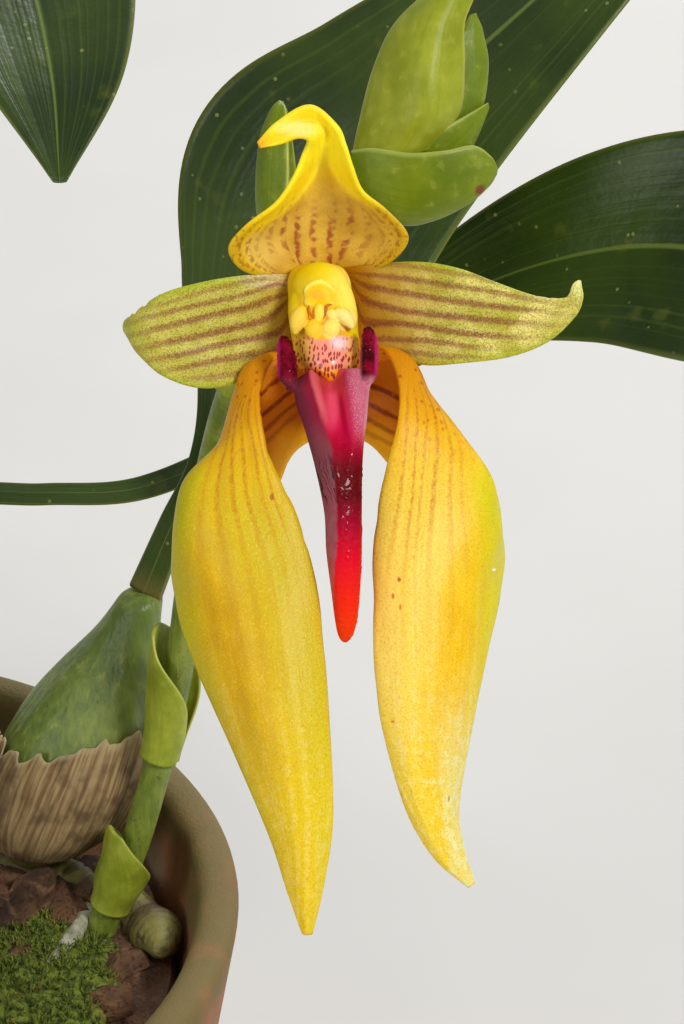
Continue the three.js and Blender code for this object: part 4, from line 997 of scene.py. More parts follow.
hood = stacked(COLUMN, rows=120, sides=110)
hollow = np.exp(-(((hood[..., 0] + 0.5) / 1.9) ** 2 + ((hood[..., 1] - 0.9) / 1.9) ** 2) ** 2)
hood[..., 2] -= 0.3 * hollow * (hood[..., 2] > 0)
RIGHT_MARGIN = [
    [0.2, 4.5, 0.9],
    [1.3, 3.6, 1.0],
    [1.85, 2.4, 1.15],
    [2.25, 1.0, 1.5],
    [2.6, 0.0, 2.1],
    [2.8, -0.8, 2.7],
]
LEFT_MARGIN = [[-2.4, 3.6, 0.8], [-2.75, 2.0, 1.0], [-2.85, 0.8, 1.4], [-2.95, -0.4, 2.0]]
LEFT_ARM = [[-2.0, 1.2, 2.6], [-2.5, 0.2, 2.75], [-2.85, -0.8, 2.9], [-3.0, -1.6, 3.0]]
RIGHT_ARM = [[1.0, 0.95, 2.75], [1.8, 0.4, 2.75], [2.4, -0.3, 2.85], [2.85, -1.0, 3.0]]
flesh = together(
    rings_to_skin(hood),
    limb(RIGHT_MARGIN, [0.4, 0.9, 1.0, 0.95, 0.7, 0.24]),
    limb(LEFT_MARGIN, [0.5, 0.8, 0.85, 0.6]),
    limb(LEFT_ARM, [0.5, 0.9, 0.68, 0.2]),
    limb(RIGHT_ARM, [0.45, 0.72, 0.58, 0.18]),
    lump([-0.53, 0.6, 2.85], [0.62, 1.0, 0.5]),
    lump([0.65, 0.5, 2.8], [0.75, 0.5, 0.5], -20),
    lump([-1.14, -1.1, 3.05], [0.88, 1.12, 0.72], -6),
    lump([0.64, -1.05, 3.05], [0.95, 1.1, 0.76], 8),
    lump([-0.5, 3.3, 1.0], [2.85, 2.5, 1.5]),
)
column_shape = melted(flesh, voxel=0.1, passes=9)[:2]
print("column has", len(column_shape[0]), "points")

# %% Column finish
column = Finish("column", (0.2, 1.5), Specular_IOR_Level=0.2, Coat_Roughness=0.12)
here = column.flower_place()
x, y, z = column.parts(here)
slow = column.noise(here, 1.6)
fine = column.noise(here, 0.2, 2)
# The hood is deeper yellow on the left as painted shade, pale on the right as a painted highlight,
# with an orange pad and painted shade in the creases.
# Painted shade: the hood darkens towards its left side.
column.base = column.mix((214, 178, 0), (240, 206, 8), (slow * 0.3 + (x + 3.4) * 0.16).step(0.2, 0.8))
# A painted highlight makes the hood pale on its right.
column.paint((252, 228, 92), x.step(-0.4, 2.4) * y.step(0.0, 1.5) * 0.8)
pad = column.patch(here, (-0.5, 1.7, 3.0), (1.8, 1.7, 2.0))
column.paint((254, 196, 12), pad * 0.8)
# Painted shade: a deeper orange that stays in the creases between the arms and lobes.
crease_shade = column.patch(here, (-0.1, -0.7, 3.0), (2.7, 1.5, 2.5))
column.paint((236, 156, 10), crease_shade * 0.8)
# The arms and the lobes are paler.
PALE_PARTS = [
    ((-2.75, -0.1, 3.3), (0.95, 1.75, 1.4), (251, 212, 76)),
    ((2.1, -0.1, 3.3), (1.3, 1.15, 1.4), (253, 230, 134)),
    ((-0.5, 0.6, 3.3), (0.6, 1.0, 1.0), (253, 224, 80)),
    ((0.7, 0.5, 3.3), (0.75, 0.5, 1.0), (252, 230, 116)),
    ((-1.14, -1.1, 3.5), (0.85, 1.1, 1.2), (253, 206, 46)),
    ((0.64, -1.05, 3.5), (0.92, 1.08, 1.2), (254, 228, 104)),
]
for middle, sizes, shade in PALE_PARTS:
    column.paint(shade, column.patch(here, middle, sizes) * 0.9)
# The foot is salmon pink, up to an uneven edge.
edge = -1.75 + (fine - 0.5) * 0.5 - (1 - abs(x + 0.2).step(0.6, 1.6)) * 0.35
foot = 1 - (y - edge).step(-0.25, 0.25)
blush = 1 - abs(x - 0.5).step(1.0, 3.0)
flesh_pink = column.mix((255, 196, 66), (246, 152, 128), blush)
flesh_pink = column.mix(flesh_pink, (240, 150, 24), (0 - y).step(4.4, 5.4))
column.paint(flesh_pink, foot)
# Red dashes on the foot, larger lower down.
warp = column.noise(here, 0.8, 1) * 0.3
dashes = column.cells(column.vector(x + warp, (y + warp) * 0.44), 0.32, "F1", "2D")
size = 0.07 + (0 - y).step(3.0, 5.4) * 0.1 + fine * 0.1
dark = (1 - (dashes - size).step(0.08, 0.22)) * foot * z.step(0.0, 1.0)
red = column.mix((188, 40, 48), (146, 8, 30), (0 - y).step(2.2, 4.6))
column.paint(red, dark * 0.92)
# A painted highlight on the glossy foot.
painted_shine = column.patch(here, (1.45, -2.4, 4), (0.8, 0.6, 3), 0.7)
column.paint((255, 232, 230), painted_shine * 0.75)
column.set("Roughness", 0.46 - foot * 0.16 + fine * 0.08)
column.set("Coat Weight", foot * 0.4)
column_finish = column.done((fine, 0.02), (slow, 0.05))
flower_piece("column", column_shape, column_finish, "column", "column")

# %% [markdown]
# ## Anther cap and slits
#
# A small cap covers the pollen under the hood. Its brow is a soft pale arch, a painted highlight.
# Two curved slits run down beside the tongue under it. They are gaps full of shade on the real
# flower. At this size two thin dark threads, sunk into the flesh, stand in for that shade: they look
# the same and cost next to nothing.

# %% Anther cap
anther = Finish("anther_cap", (0.2, 1.0), Roughness=0.45, Specular_IOR_Level=0.2)
here = anther.flower_place()
soft = anther.noise(here, 0.7)
heart = anther.patch(here, (-0.75, 2.4, 3.3), (0.8, 0.5, 1.2), 0.5)
below = anther.patch(here, (-0.5, 2.3, 2.6), (1.5, 1.2, 2.4), 0.25)
anther.base = anther.mix((253, 196, 4), (254, 206, 20), soft)
anther.paint((240, 170, 46), heart * 0.6)
# Outside the patch the brow is painted pale, as its highlight.
anther.base = anther.mix((254, 234, 100), anther.base, below)
anther_finish = anther.done((soft, 0.05))
BROW = [[-2.0, 2.6, 2.3], [-1.6, 3.15, 2.3], [-0.5, 3.62, 2.25], [0.4, 3.2, 2.35], [1.0, 2.6, 2.3]]
cap = together(
    lump([-0.55, 2.4, 2.3], [1.55, 1.25, 0.7]),
    limb(BROW, [0.2, 0.34, 0.4, 0.32, 0.18]),
    lump([-1.3, 1.7, 2.4], [0.8, 0.7, 0.55], -12),
    lump([0.15, 1.7, 2.4], [0.8, 0.7, 0.55], 12),
)
cap_shape = melted(cap, voxel=0.08, passes=9)[:2]
flower_piece("anther_cap", cap_shape, anther_finish, "anther", "anther_cap")

# The threads are painted shade: dark brown where the gaps beside the tongue lie in shade.
slit = Finish("slit", Roughness=0.4)
slit.base = slit.mix((172, 80, 0), (206, 118, 14), slit.noise(slit.place(), 0.3))
gap_shade_finish = slit.done()
SLIT_RADII = [0.04, 0.13, 0.1, 0.03]
SLITS = {
    "slit_left": [[-1.58, 1.36, 3.05], [-1.6, 0.98, 3.2], [-1.46, 0.5, 3.22], [-1.2, 0.0, 3.12]],
    "slit_right": [
        [0.75, 1.4, 3.02],
        [0.3, 1.38, 3.2],
        [0.12, 0.9, 3.26],
        [0.02, 0.35, 3.2],
        [-0.2, -0.08, 3.1],
    ],
}
for name, points in SLITS.items():
    flower_piece(name, limb(points, SLIT_RADII, rows=24, sides=10), gap_shade_finish, "column")

# %% [markdown]
# ## Lip
#
# The lip is a tapering tongue that hangs from the foot of the column. Its top edge rises in two
# ridges on either side of a groove. The left flank is a matt mauve plane, the right ridge is broad
# and lilac pink, and lower down the front turns glossy crimson with small blisters, to a scarlet
# tip. Two wings stand up beside the column's foot. They are dark and covered with wet warts, which
# are made here as real bumps, because light catches each of them.

# %% Lip shape
LIP = [  # y, middle x, half width, middle z, half depth, depth of the groove
    [-4.9, 0.9, 3.9, 4.0, 0.5, 0.2],
    [-5.6, 0.6, 4.3, 4.3, 1.2, 1.0],
    [-6.4, 0.35, 4.2, 4.7, 1.6, 1.5],
    [-7.2, 0.65, 3.75, 5.1, 1.8, 1.5],
    [-8.9, 0.75, 3.5, 5.7, 1.9, 1.2],
    [-10.2, 0.95, 3.2, 6.2, 1.9, 0.9],
    [-12.0, 1.1, 2.8, 6.9, 1.85, 0.5],
    [-15.0, 1.4, 2.3, 7.7, 1.8, 0.15],
    [-19.2, 1.8, 1.85, 8.3, 1.7, 0.05],
    [-23.0, 1.9, 1.75, 8.5, 1.6, 0],
    [-26.6, 2.05, 1.45, 8.3, 1.4, 0],
    [-29.6, 2.1, 1.12, 7.9, 1.1, 0],
    [-31.2, 2.05, 0.75, 7.5, 0.75, 0],
    [-31.95, 2.0, 0.25, 7.3, 0.25, 0],
]
TOP_EDGE = [  # x, y
    [-4.2, -6.8],
    [-2.3, -5.75],
    [-1.4, -5.0],
    [-0.8, -5.5],
    [0.6, -6.5],
    [1.3, -5.95],
    [2.2, -5.0],
    [3.6, -4.9],
    [5.1, -5.8],
]
LEFT_WING = [  # y, middle x, half width, middle z, half depth
    [-1.75, -4.1, 0.25, 3.3, 0.4],
    [-2.1, -4.05, 0.55, 3.5, 0.8],
    [-3.1, -3.9, 0.82, 3.8, 1.1],
    [-4.2, -3.75, 0.95, 4.1, 1.25],
    [-5.3, -3.7, 0.98, 4.4, 1.25],
    [-6.2, -3.6, 0.8, 4.7, 1.15],
    [-6.8, -3.3, 0.5, 4.9, 0.9],
]
RIGHT_WING = [
    [-0.85, 4.3, 0.25, 3.3, 0.4],
    [-1.3, 4.32, 0.52, 3.5, 0.8],
    [-2.4, 4.42, 0.76, 3.8, 1.1],
    [-3.6, 4.38, 0.86, 4.1, 1.25],
    [-5.0, 4.36, 0.88, 4.4, 1.25],
    [-5.9, 4.25, 0.72, 4.7, 1.15],
    [-6.5, 4.05, 0.45, 4.9, 0.9],
]
LIP_ROWS = 170
# The ridges and the groove, as pairs of y and x.
LEFT_RIDGE = [
    [-5.0, -1.35],
    [-7.3, -0.7],
    [-10.1, 0.05],
    [-12.3, 0.65],
    [-15.0, 1.0],
    [-20.0, 1.4],
    [-26.0, 1.1],
]
GROOVE_LINE = [[-5.0, 0.5], [-7.0, 0.7], [-9.0, 1.0], [-11.0, 1.4], [-13.0, 1.7]]
RIGHT_RIDGE = [[-5.0, 2.7], [-8.0, 2.9], [-12.0, 2.9], [-15.0, 2.6]]


def beside(points, line):
    """How far points lie to the right of a line down the lip."""
    heights, places = np.asarray(line)[::-1].T
    return points[..., 0] - np.interp(points[..., 1], heights, places)


tongue = stacked([row[:5] for row in LIP], LIP_ROWS, sides=96)
front = np.clip(tongue[..., 2] - spread([row[3] for row in LIP], LIP_ROWS)[:, None], 0, 0.6) / 0.6
groove = spread([row[5] for row in LIP], LIP_ROWS)[:, None]
upper = np.clip((tongue[..., 1] + 16) / 6, 0, 1)
rise = 0.4 * np.exp(-((beside(tongue, LEFT_RIDGE) / 0.5) ** 2)) * (0.3 + 0.7 * upper)
rise = rise + 0.35 * np.exp(-((beside(tongue, RIGHT_RIDGE) / 0.9) ** 2)) * upper
rise = rise - groove * np.exp(-((beside(tongue, GROOVE_LINE) / 1.1) ** 2))
tongue[..., 2] += rise * front
shape_of_top = np.interp(tongue[..., 0], *np.transpose(TOP_EDGE)) - LIP[0][0]
tongue[..., 1] += shape_of_top * np.clip((tongue[..., 1] + 7.5) / 2.6, 0, 1)

wings = [rings_to_skin(stacked(wing, rows=40, sides=40)) for wing in (LEFT_WING, RIGHT_WING)]
whole_lip = together(rings_to_skin(tongue), *wings)
lip_points, lip_faces, lip_normals = melted(whole_lip, voxel=0.11, passes=2)
print("lip has", len(lip_points), "points")

# %% Warts on the wings and blisters on the tongue
WARTS, WART_RADIUS, WART_HEIGHT = 260, 0.15, 0.14
BLISTER_SIZE, BLISTER_HEIGHT = 0.7, 0.05

random = np.random.default_rng(21)
on_wings = (lip_points[:, 1] > -6.0) & (np.abs(lip_points[:, 0] - 0.4) > 3.1)
spots = lip_points[on_wings][random.integers(0, on_wings.sum(), WARTS)]
wart = np.zeros(len(lip_points))
for spot in spots:
    near = np.linalg.norm(lip_points - spot, axis=1)
    wart = np.maximum(wart, np.exp(-((near / WART_RADIUS) ** 2)) * random.uniform(0.6, 1))
low = np.clip((-10.5 - lip_points[:, 1]) / 5, 0, 1) * np.clip((lip_points[:, 0] - 1.2) / 0.6, 0, 1)
blister = np.maximum(0, lumps(lip_points, BLISTER_SIZE, 31)) * low * (lip_normals[:, 2] > 0.1)
lip_points = lip_points + lip_normals * (WART_HEIGHT * wart + BLISTER_HEIGHT * blister)[:, None]
print("warts:", len(spots))

# %% Lip finish
lip = Finish("lip", (0.05, 1.0), Coat_Roughness=0.08, Specular_IOR_Level=0.06)
here = lip.flower_place()
x, y, _ = lip.parts(here)
slow = lip.noise(here, 1.4)
fine = lip.noise(here, 0.18, 3)
down = 0 - y
# The front goes from pink at the top through crimson to scarlet.
front = lip.ramp(
    (down - 5.0) / 27.0,
    (0.0, (176, 66, 40)),
    (0.1, (200, 48, 62)),
    (0.2, (204, 20, 70)),
    (0.28, (170, 0, 40)),
    (0.37, (100, 0, 10)),
    (0.47, (98, 0, 14)),
    (0.57, (158, 0, 36)),
    (0.7, (220, 6, 34)),
    (0.84, (236, 36, 12)),
    (1.0, (238, 58, 0)),
)
# Where the left ridge and the groove run.
ridge_line = 0.85 - (0.85 - (down - 5.1) * 0.27 + 1.3).most(0.0)
ridge_line = ridge_line + down.step(12.0, 20.0) * 0.55 - down.step(22.0, 26.0) * 0.35 + (slow - 0.5) * 0.4
groove_line = (down - 5.0) * 0.15 + 0.5
aside = x - groove_line
right_side = aside.step(0.8, 1.4) * (1 - down.step(10.0, 13.5))
# The groove has a painted pink highlight beside a dark line, and the right ridge is lilac.
pink = lip.patch(here, (0.75, -8.8, 6.0), (0.6, 2.2, 5.0), 0.6)
lip.base = lip.mix(front, (230, 78, 106), pink * 0.75)
dark_line = (1 - abs(aside - 0.62).step(0.1, 0.42)) * down.step(6.8, 8.6) * (1 - down.step(11.0, 13.0))
lip.paint((166, 0, 46), dark_line * 0.8)
lilac = lip.mix((186, 50, 84), (194, 98, 122), aside.step(1.3, 2.6))
lip.paint(lilac, right_side * 0.9)
# A painted highlight along the left ridge, and the mauve flank beside it.
ridge = (1 - abs(x - ridge_line).step(0.15, 0.6)) * (1 - down.step(8.5, 11.5))
flank = (ridge_line - x).step(0.0, 0.35) * (1 - down.step(26.5, 31.0))
purple = lip.mix((142, 22, 48), (98, 34, 50), (ridge_line - x).step(0.3, 1.8))
low = lip.mix((124, 70, 74), (150, 86, 92), down.step(14.0, 20.0))
low = lip.mix(low, (212, 88, 76), down.step(21.0, 29.0))
mauve = lip.mix(purple, low, down.step(9.0, 14.0) * (0.7 + slow.step(0.3, 0.6) * 0.3))
lip.paint(mauve, flank * 0.92)
# The pale pink on the left ridge is a painted highlight.
lip.paint((218, 96, 104), ridge * 0.8)
# A painted sheen along the outer edge of the right ridge.
edge_sheen = (x + (down - 6.5) * 0.118 - 4.2).step(0.0, 0.35) * right_side
lip.paint((226, 168, 180), edge_sheen * 0.6)
# Fine dark cracks in the flank.
crazing = lip.stretched(here, (1.0, 0.6, 1.0))
cracks = lip.cells(crazing + slow * 0.6, 0.5, "DISTANCE_TO_EDGE")
cracked = (1 - cracks.step(0.01, 0.07)) * flank * (1 - abs(y + 16.0).step(1.2, 3.0)) * fine.step(0.35, 0.5)
lip.paint((34, 4, 10), cracked * 0.9)
# Painted glitter on the right ridge, and dark wings with bright outer rims.
wing = (y + 5.9).step(-0.7, 0.5) * abs(x - 0.4).step(2.9, 3.4)
ridge_glitter = lip.noise(here, 0.12, 2).step(0.5, 0.66) * right_side * aside.step(1.2, 1.8)
lip.paint((224, 156, 168), ridge_glitter * 0.6)
dark_wing = lip.mix((70, 0, 6), (132, 0, 34), slow.step(0.35, 0.65))
lip.paint(dark_wing, wing)
lip.paint((196, 34, 112), wing * abs(x - 0.25).step(4.52, 4.9) * 0.85)
# The crimson front and the warts of the wings are wet.
wet = down.step(10.5, 13.5) * (1 - flank) * 0.45
wet = wet.most(lip.patch(here, (1.2, -9.4, 7.0), (0.3, 0.9, 5.0)))
beads = 1 - lip.cells(here, 0.34).step(0.1, 0.6)
drop = lip.noise(here, 0.4, 1)
lip.set("Roughness", 0.55 - wet * 0.1 + flank * 0.12)
lip.set("Coat Weight", (wet * drop.step(0.5, 0.62) * 0.4).most(wing * beads.step(0.3, 0.9) * 0.45))
lip_finish = lip.done((fine, 0.03), (drop, 0.07), (beads * wing, 0.1), (1 - cracked, 0.08))
flower_piece("lip", (lip_points, lip_faces), lip_finish, "lip", "lip")

# %% [markdown]
# ## Ovary
#
# The flower sits on its ovary, a short ribbed neck that widens towards the column. Six ribs in the
# radius of a stem give it its section.

# %% Ovary
PEDICEL = [[0.4, 9.4, -18.4], [0.2, 7.4, -15.2], [0, 4.6, -11.6], [0, 2.0, -8.4], [0, 0.6, -4.8]]

ovary = Finish("pedicel", (0.15, 1.5), Roughness=0.42)
here = ovary.place()
slow = ovary.noise(here, 2.5)
fleck = ovary.noise(here, 0.45, 2).step(0.58, 0.68)
ovary.base = ovary.mix((170, 172, 52), (206, 196, 72), slow)
ovary.paint((132, 70, 44), fleck * 0.7)
ovary_finish = ovary.done((fleck, 0.03), (slow, 0.1))

PEDICEL_RADII = [1.1, 1.15, 1.5, 2.2, 2.8]
PEDICEL_ROWS, PEDICEL_SIDES, RIBS = 60, 48, 6
ribs = 1 + 0.07 * np.cos(RIBS * all_round(PEDICEL_SIDES))
neck = spread(PEDICEL_RADII, PEDICEL_ROWS)[:, None] * ribs
neck_shape = stem(smooth_path(PEDICEL, even(PEDICEL_ROWS)), neck, PEDICEL_SIDES)
flower_piece("pedicel", neck_shape, ovary_finish, "pedicel", "pedicel")

# %% [markdown]
# ## Bracts and bud
#
# Green bracts wrap the end of the stalk like boats, one inside the other. Each is a sheet over three
# rails, the largest over five. They are matt, with close parallel veins, a paler keel and a thin
# pale hem. The lowest has an old brown scar on its lip.


# %% Bract finish
def bract_material(name, deep, pale, scar=None):
    finish = Finish(name, (0.12, 1.5), Specular_IOR_Level=0.3)
    across, along, _ = finish.blade()
    here = finish.flower_place()
    slow = finish.noise(here, 4.5, 3)
    fine = finish.noise(here, 0.22, 3)
    sway = (slow - 0.5) * 0.12
    veins = finish.noise(finish.vector((across + sway) * 14, along * 1.2), 1.0, 1)
    blotch = finish.noise(here, 1.3, 3)
    finish.base = finish.mix(deep, pale, (slow * 0.7 + blotch * 0.3).step(0.32, 0.68))
    finish.paint(deep, veins.step(0.48, 0.66) * 0.35)
    finish.paint((202, 204, 110), (1 - abs(across).step(0.0, 0.06)) * 0.12)
    finish.paint((186, 192, 96), abs(across).step(0.95, 1.0) * 0.6)
    finish.paint((188, 186, 92), blotch.step(0.58, 0.7) * 0.16)
    if scar:
        off = finish.vectors("DISTANCE", {0: here, 1: scar}, 1)
        burnt = 1 - (off + (fine - 0.5) * 0.8).step(0.35, 0.85)
        finish.paint((120, 62, 20), burnt)
    finish.set("Roughness", 0.52 - fine * 0.16)
    return finish.done((veins, 0.05), (fine, 0.02), (blotch, 0.06))


# %% Bracts
LIGHT_GREEN = (132, 142, 18), (158, 164, 40)
MID_GREEN = (98, 118, 4), (122, 138, 18)
BRACT_LEFT = [
    [[-0.4, 6.0, -16.4], [-2.4, 5.4, -19.6], [-0.4, 6.6, -22.6]],
    [[-3.2, 8.8, -14.5], [-5.6, 8.4, -19.0], [-3.0, 9.4, -23.5]],
    [[-3.9, 12.0, -13.5], [-6.8, 12.0, -18.0], [-3.4, 12.8, -23.0]],
    [[-3.8, 16.0, -13.5], [-6.9, 16.2, -17.5], [-3.2, 16.6, -22.0]],
    [[-3.9, 19.8, -14.0], [-6.4, 20.2, -17.0], [-3.6, 20.4, -20.5]],
    [[-4.1, 22.5, -15.2], [-5.4, 22.7, -16.8], [-4.0, 22.7, -18.6]],
    [[-4.5, 23.5, -16.4], [-4.8, 23.7, -16.8], [-4.4, 23.6, -17.2]],
]
BRACT_LOW = [
    [[2.7, 18.3, -14.2], [3.0, 14.8, -17.8], [3.2, 18.2, -20.8]],
    [[5.0, 18.4, -12.6], [5.2, 12.4, -16.5], [5.6, 18.4, -22.5]],
    [[8.6, 17.8, -11.5], [8.4, 11.0, -15.5], [8.8, 18.2, -22.0]],
    [[12.2, 18.0, -11.2], [11.8, 11.7, -15.0], [12.2, 18.4, -20.5]],
    [[15.2, 18.6, -12.0], [14.8, 13.2, -14.5], [15.0, 18.8, -18.5]],
    [[17.0, 17.6, -13.0], [16.8, 14.9, -14.2], [16.9, 17.6, -16.4]],
    [[17.8, 16.4, -13.8], [17.7, 15.9, -14.2], [17.8, 16.4, -14.8]],
]
BRACT_MIDDLE = [
    [[5.4, 18.6, -14.5], [5.8, 15.2, -17.5], [5.4, 18.6, -21.5]],
    [[7.8, 19.1, -12.6], [8.8, 13.4, -16.5], [8.0, 18.8, -21.0]],
    [[10.6, 19.7, -12.0], [12.2, 14.2, -16.0], [10.8, 19.6, -20.0]],
    [[13.2, 21.0, -12.2], [14.3, 17.4, -15.6], [13.2, 21.2, -18.6]],
    [[15.2, 22.2, -13.2], [15.5, 20.0, -15.0], [15.2, 22.2, -17.0]],
    [[16.8, 23.2, -14.2], [16.9, 22.8, -14.6], [16.8, 23.2, -15.0]],
]
BRACT_HIGH = [
    [[10.8, 18.2, -12.6], [7.4, 17.6, -12.4], [3.1, 18.0, -15.8], [6.2, 18.4, -19.8], [10.0, 18.8, -20.0]],
    [[13.8, 22.0, -12.4], [9.6, 21.2, -9.8], [3.9, 21.6, -15.0], [7.8, 22.4, -20.8], [12.2, 23.0, -19.6]],
    [[14.3, 26.6, -11.5], [10.0, 26.0, -9.2], [5.2, 26.6, -14.6], [9.0, 27.2, -20.2], [13.2, 27.2, -18.9]],
    [[14.3, 31.0, -11.5], [11.0, 30.6, -9.8], [7.2, 31.0, -14.2], [10.6, 31.4, -18.6], [14.0, 31.4, -17.4]],
    [[15.4, 34.2, -12.0], [12.8, 34.2, -10.8], [10.6, 34.4, -13.8], [12.8, 34.6, -16.6], [15.0, 34.6, -15.6]],
    [[15.9, 37.6, -12.8], [15.3, 37.6, -12.4], [14.7, 37.8, -13.2], [15.1, 37.8, -14.0], [15.8, 37.8, -13.9]],
]
BRACT_RIGHT = [
    [[10.9, 19.6, -14.2], [13.5, 18.8, -16.2], [10.8, 19.8, -18.4]],
    [[12.2, 22.6, -13.6], [15.9, 22.5, -15.7], [12.2, 22.8, -17.8]],
    [[12.9, 26.6, -13.1], [16.6, 27.1, -15.3], [12.9, 27.0, -17.4]],
    [[13.7, 29.6, -13.1], [16.1, 30.2, -14.8], [13.7, 30.0, -16.4]],
    [[14.9, 32.2, -13.7], [15.5, 32.5, -14.3], [15.0, 32.4, -14.9]],
]
BRACTS = [
    (BRACT_LEFT, bract_material("bract_left", *MID_GREEN)),
    (BRACT_LOW, bract_material("bract_low", *MID_GREEN, (15.9, 14.2, -13.6))),
    (BRACT_MIDDLE, bract_material("bract_middle", *MID_GREEN)),
    (BRACT_HIGH, bract_material("bract_high", *LIGHT_GREEN)),
    (BRACT_RIGHT, bract_material("bract_right", *MID_GREEN)),
]
for k, (stations, finish) in enumerate(BRACTS, 1):
    name = "bract_" + str(k)
    tepal(name, stations, finish, "bract", (70, 56), (0.7, 0.25), 0.07, 40 + k)

# %% Bud
bud = Finish("flower_bud", (0.15, 1.5), Roughness=0.45)
here = bud.flower_place()
mottle = bud.noise(here, 0.6, 2)
bud.base = bud.mix((190, 188, 70), (214, 200, 96), mottle)
bud_finish = bud.done((mottle, 0.08))
BUD = [[10.6, 26.2, -15.8], [11.4, 29, -15.3], [12.6, 32, -14.5], [13.6, 34.2, -13.9]]
BUD_RADII = [0.9, 1.9, 1.5, 0.3]
bud_shape = stem(smooth_path(BUD, even(50)), spread(BUD_RADII, 50), 32)
flower_piece("flower_bud", bud_shape, bud_finish, "bud", "flower_bud")

# %% [markdown]
# ## Flower stalk and its sheaths
#
# The stalk starts low, beside the youngest bulb, stands up past it and then leans out over the rim
# to the flower. Its lower points are given in the plant's frame and the last ones in the flower's.
# Each sheath is a pointed leaf that is rolled round the stalk at its foot and stands open above.

# %% Green stem finish
STALK_RADIUS = 1.9


def green_stem(name, deep, pale, fleck_colour):
    finish = Finish(name, (0.08, 1.0), Roughness=0.46)
    here = finish.place()
    slow = finish.noise(here, 6)
    streak = finish.noise(finish.stretched(here, (1, 1, 0.16)), 0.7, 2)
    fleck = finish.noise(here, 0.5, 2).step(0.6, 0.7)
    finish.base = finish.mix(deep, pale, (slow * 0.6 + streak * 0.4).step(0.35, 0.65))
    finish.paint(fleck_colour, fleck * 0.55)
    return finish.done((streak, 0.12), (fleck, 0.03))


stalk_finish = green_stem("scape", (98, 116, 34), (134, 146, 52), (96, 62, 38))

# %% Stalk
STALK_BASE = [
    [41.5, 9, 90],
    [43.4, 8.6, 97],
    [48, 8.8, 110],
    [52.9, 10.2, 130],
    [55.6, 8, 150],
    [58.6, 0, 170],
    [62, -12, 188],
    [66, -26, 203],
    [70, -38.5, 215],
]
STALK_HEAD = [[0.4, 9.6, -19.6], [4.4, 16.4, -17.6], [8.6, 22, -16.4], [10.4, 26, -15.8]]
STALK = np.concatenate([STALK_BASE, from_flower(STALK_HEAD)])


def stalk_radius(t):
    """The stalk thins towards the flower."""
    return STALK_RADIUS * (1.1 - 0.48 * t)


STALK_JOINTS = (0.09, 0.2125, 0.36, 0.5, 0.66)  # shares of the length, a sheath at three of them
t = even(240)
joints = sum(0.1 * np.exp(-(((t - place) / 0.006) ** 2)) for place in STALK_JOINTS)
stalk_shape = stem(smooth_path(STALK, t), stalk_radius(t) * (1 + joints), 28)
piece("scape", stalk_shape, stalk_finish, "scape", "scape")

# %% Stalk sheaths
sheath_finish = bract_material("stalk_sheath", (134, 146, 36), (168, 176, 58))
STALK_SHEATHS = [
    {"start": 0.09, "stop": 0.165, "flare": 2.0, "faces": (-0.82, -0.5, 0.27)},
    {"start": 0.2125, "stop": 0.2875, "flare": 2.2, "faces": (-0.93, 0.33, 0.16)},
    {"start": 0.5, "stop": 0.6, "flare": 2.0, "faces": (0.27, -0.75, -0.6)},
]


def sheath_surface(start, stop, flare, faces, rows=60, columns=50):
    """A leaf rolled round the stalk from start to stop, with its open side away from where it faces."""
    s = even(rows)
    t = start + (stop - start) * s
    path = smooth_path(STALK, t)
    ahead = unit(np.gradient(path, axis=0))
    front = unit(np.asarray(faces) - ahead * (ahead @ faces)[:, None])
    side = np.cross(ahead, front)
    rolled = math.pi * 0.94 * (1 - 0.86 * s**2.4)
    angle = rolled[:, None] * np.linspace(-1, 1, columns)
    spring = s * s * (3 - 2 * s) * (1 - 0.35 * s)
    radius = (stalk_radius(t) + 0.6 + flare * spring)[:, None]
    radius = radius + 0.12 * lumps(np.stack([angle * 3, s[:, None] * 9 + 0 * angle, 0 * angle], -1), 5, 3)
    around = np.cos(angle)[..., None] * front[:, None] + np.sin(angle)[..., None] * side[:, None]
    return path[:, None] + around * radius[..., None]


for k, sheath_shape in enumerate(STALK_SHEATHS, 1):
    name = "stalk_sheath_" + str(k)
    grid = sheath_surface(**sheath_shape)
    piece(name, skin(grid, thin_edge(*grid.shape[:2], 0.55, 0.2)), sheath_finish, "stalk_sheath", name)

# %% [markdown]
# ## Leaves
#
# A leaf is a thick leathery strap on a narrow stem. Its blade is channelled along the middle, where a
# groove runs on top and a keel below, and its margins wave a little. The upper side is dark and
# glossy with a pale midrib, close parallel veins and old pale specks. The underside is paler.

# %% Leaf finish
leaf = Finish("leaf", (0.04, 1.5), Specular_IOR_Level=0.35)
across, along, back = leaf.blade()
here = leaf.place()
slow = leaf.noise(here, 22, 3)
patch = leaf.noise(here, 5, 3)
fine = leaf.noise(here, 0.5, 3)
veins = leaf.noise(leaf.vector((across + (patch - 0.5) * 0.03) * 17, along * 1.5), 1.0, 1)
upper = leaf.mix((30, 46, 4), (52, 70, 10), slow.step(0.32, 0.68))
under = leaf.mix((64, 86, 28), (88, 108, 42), slow)
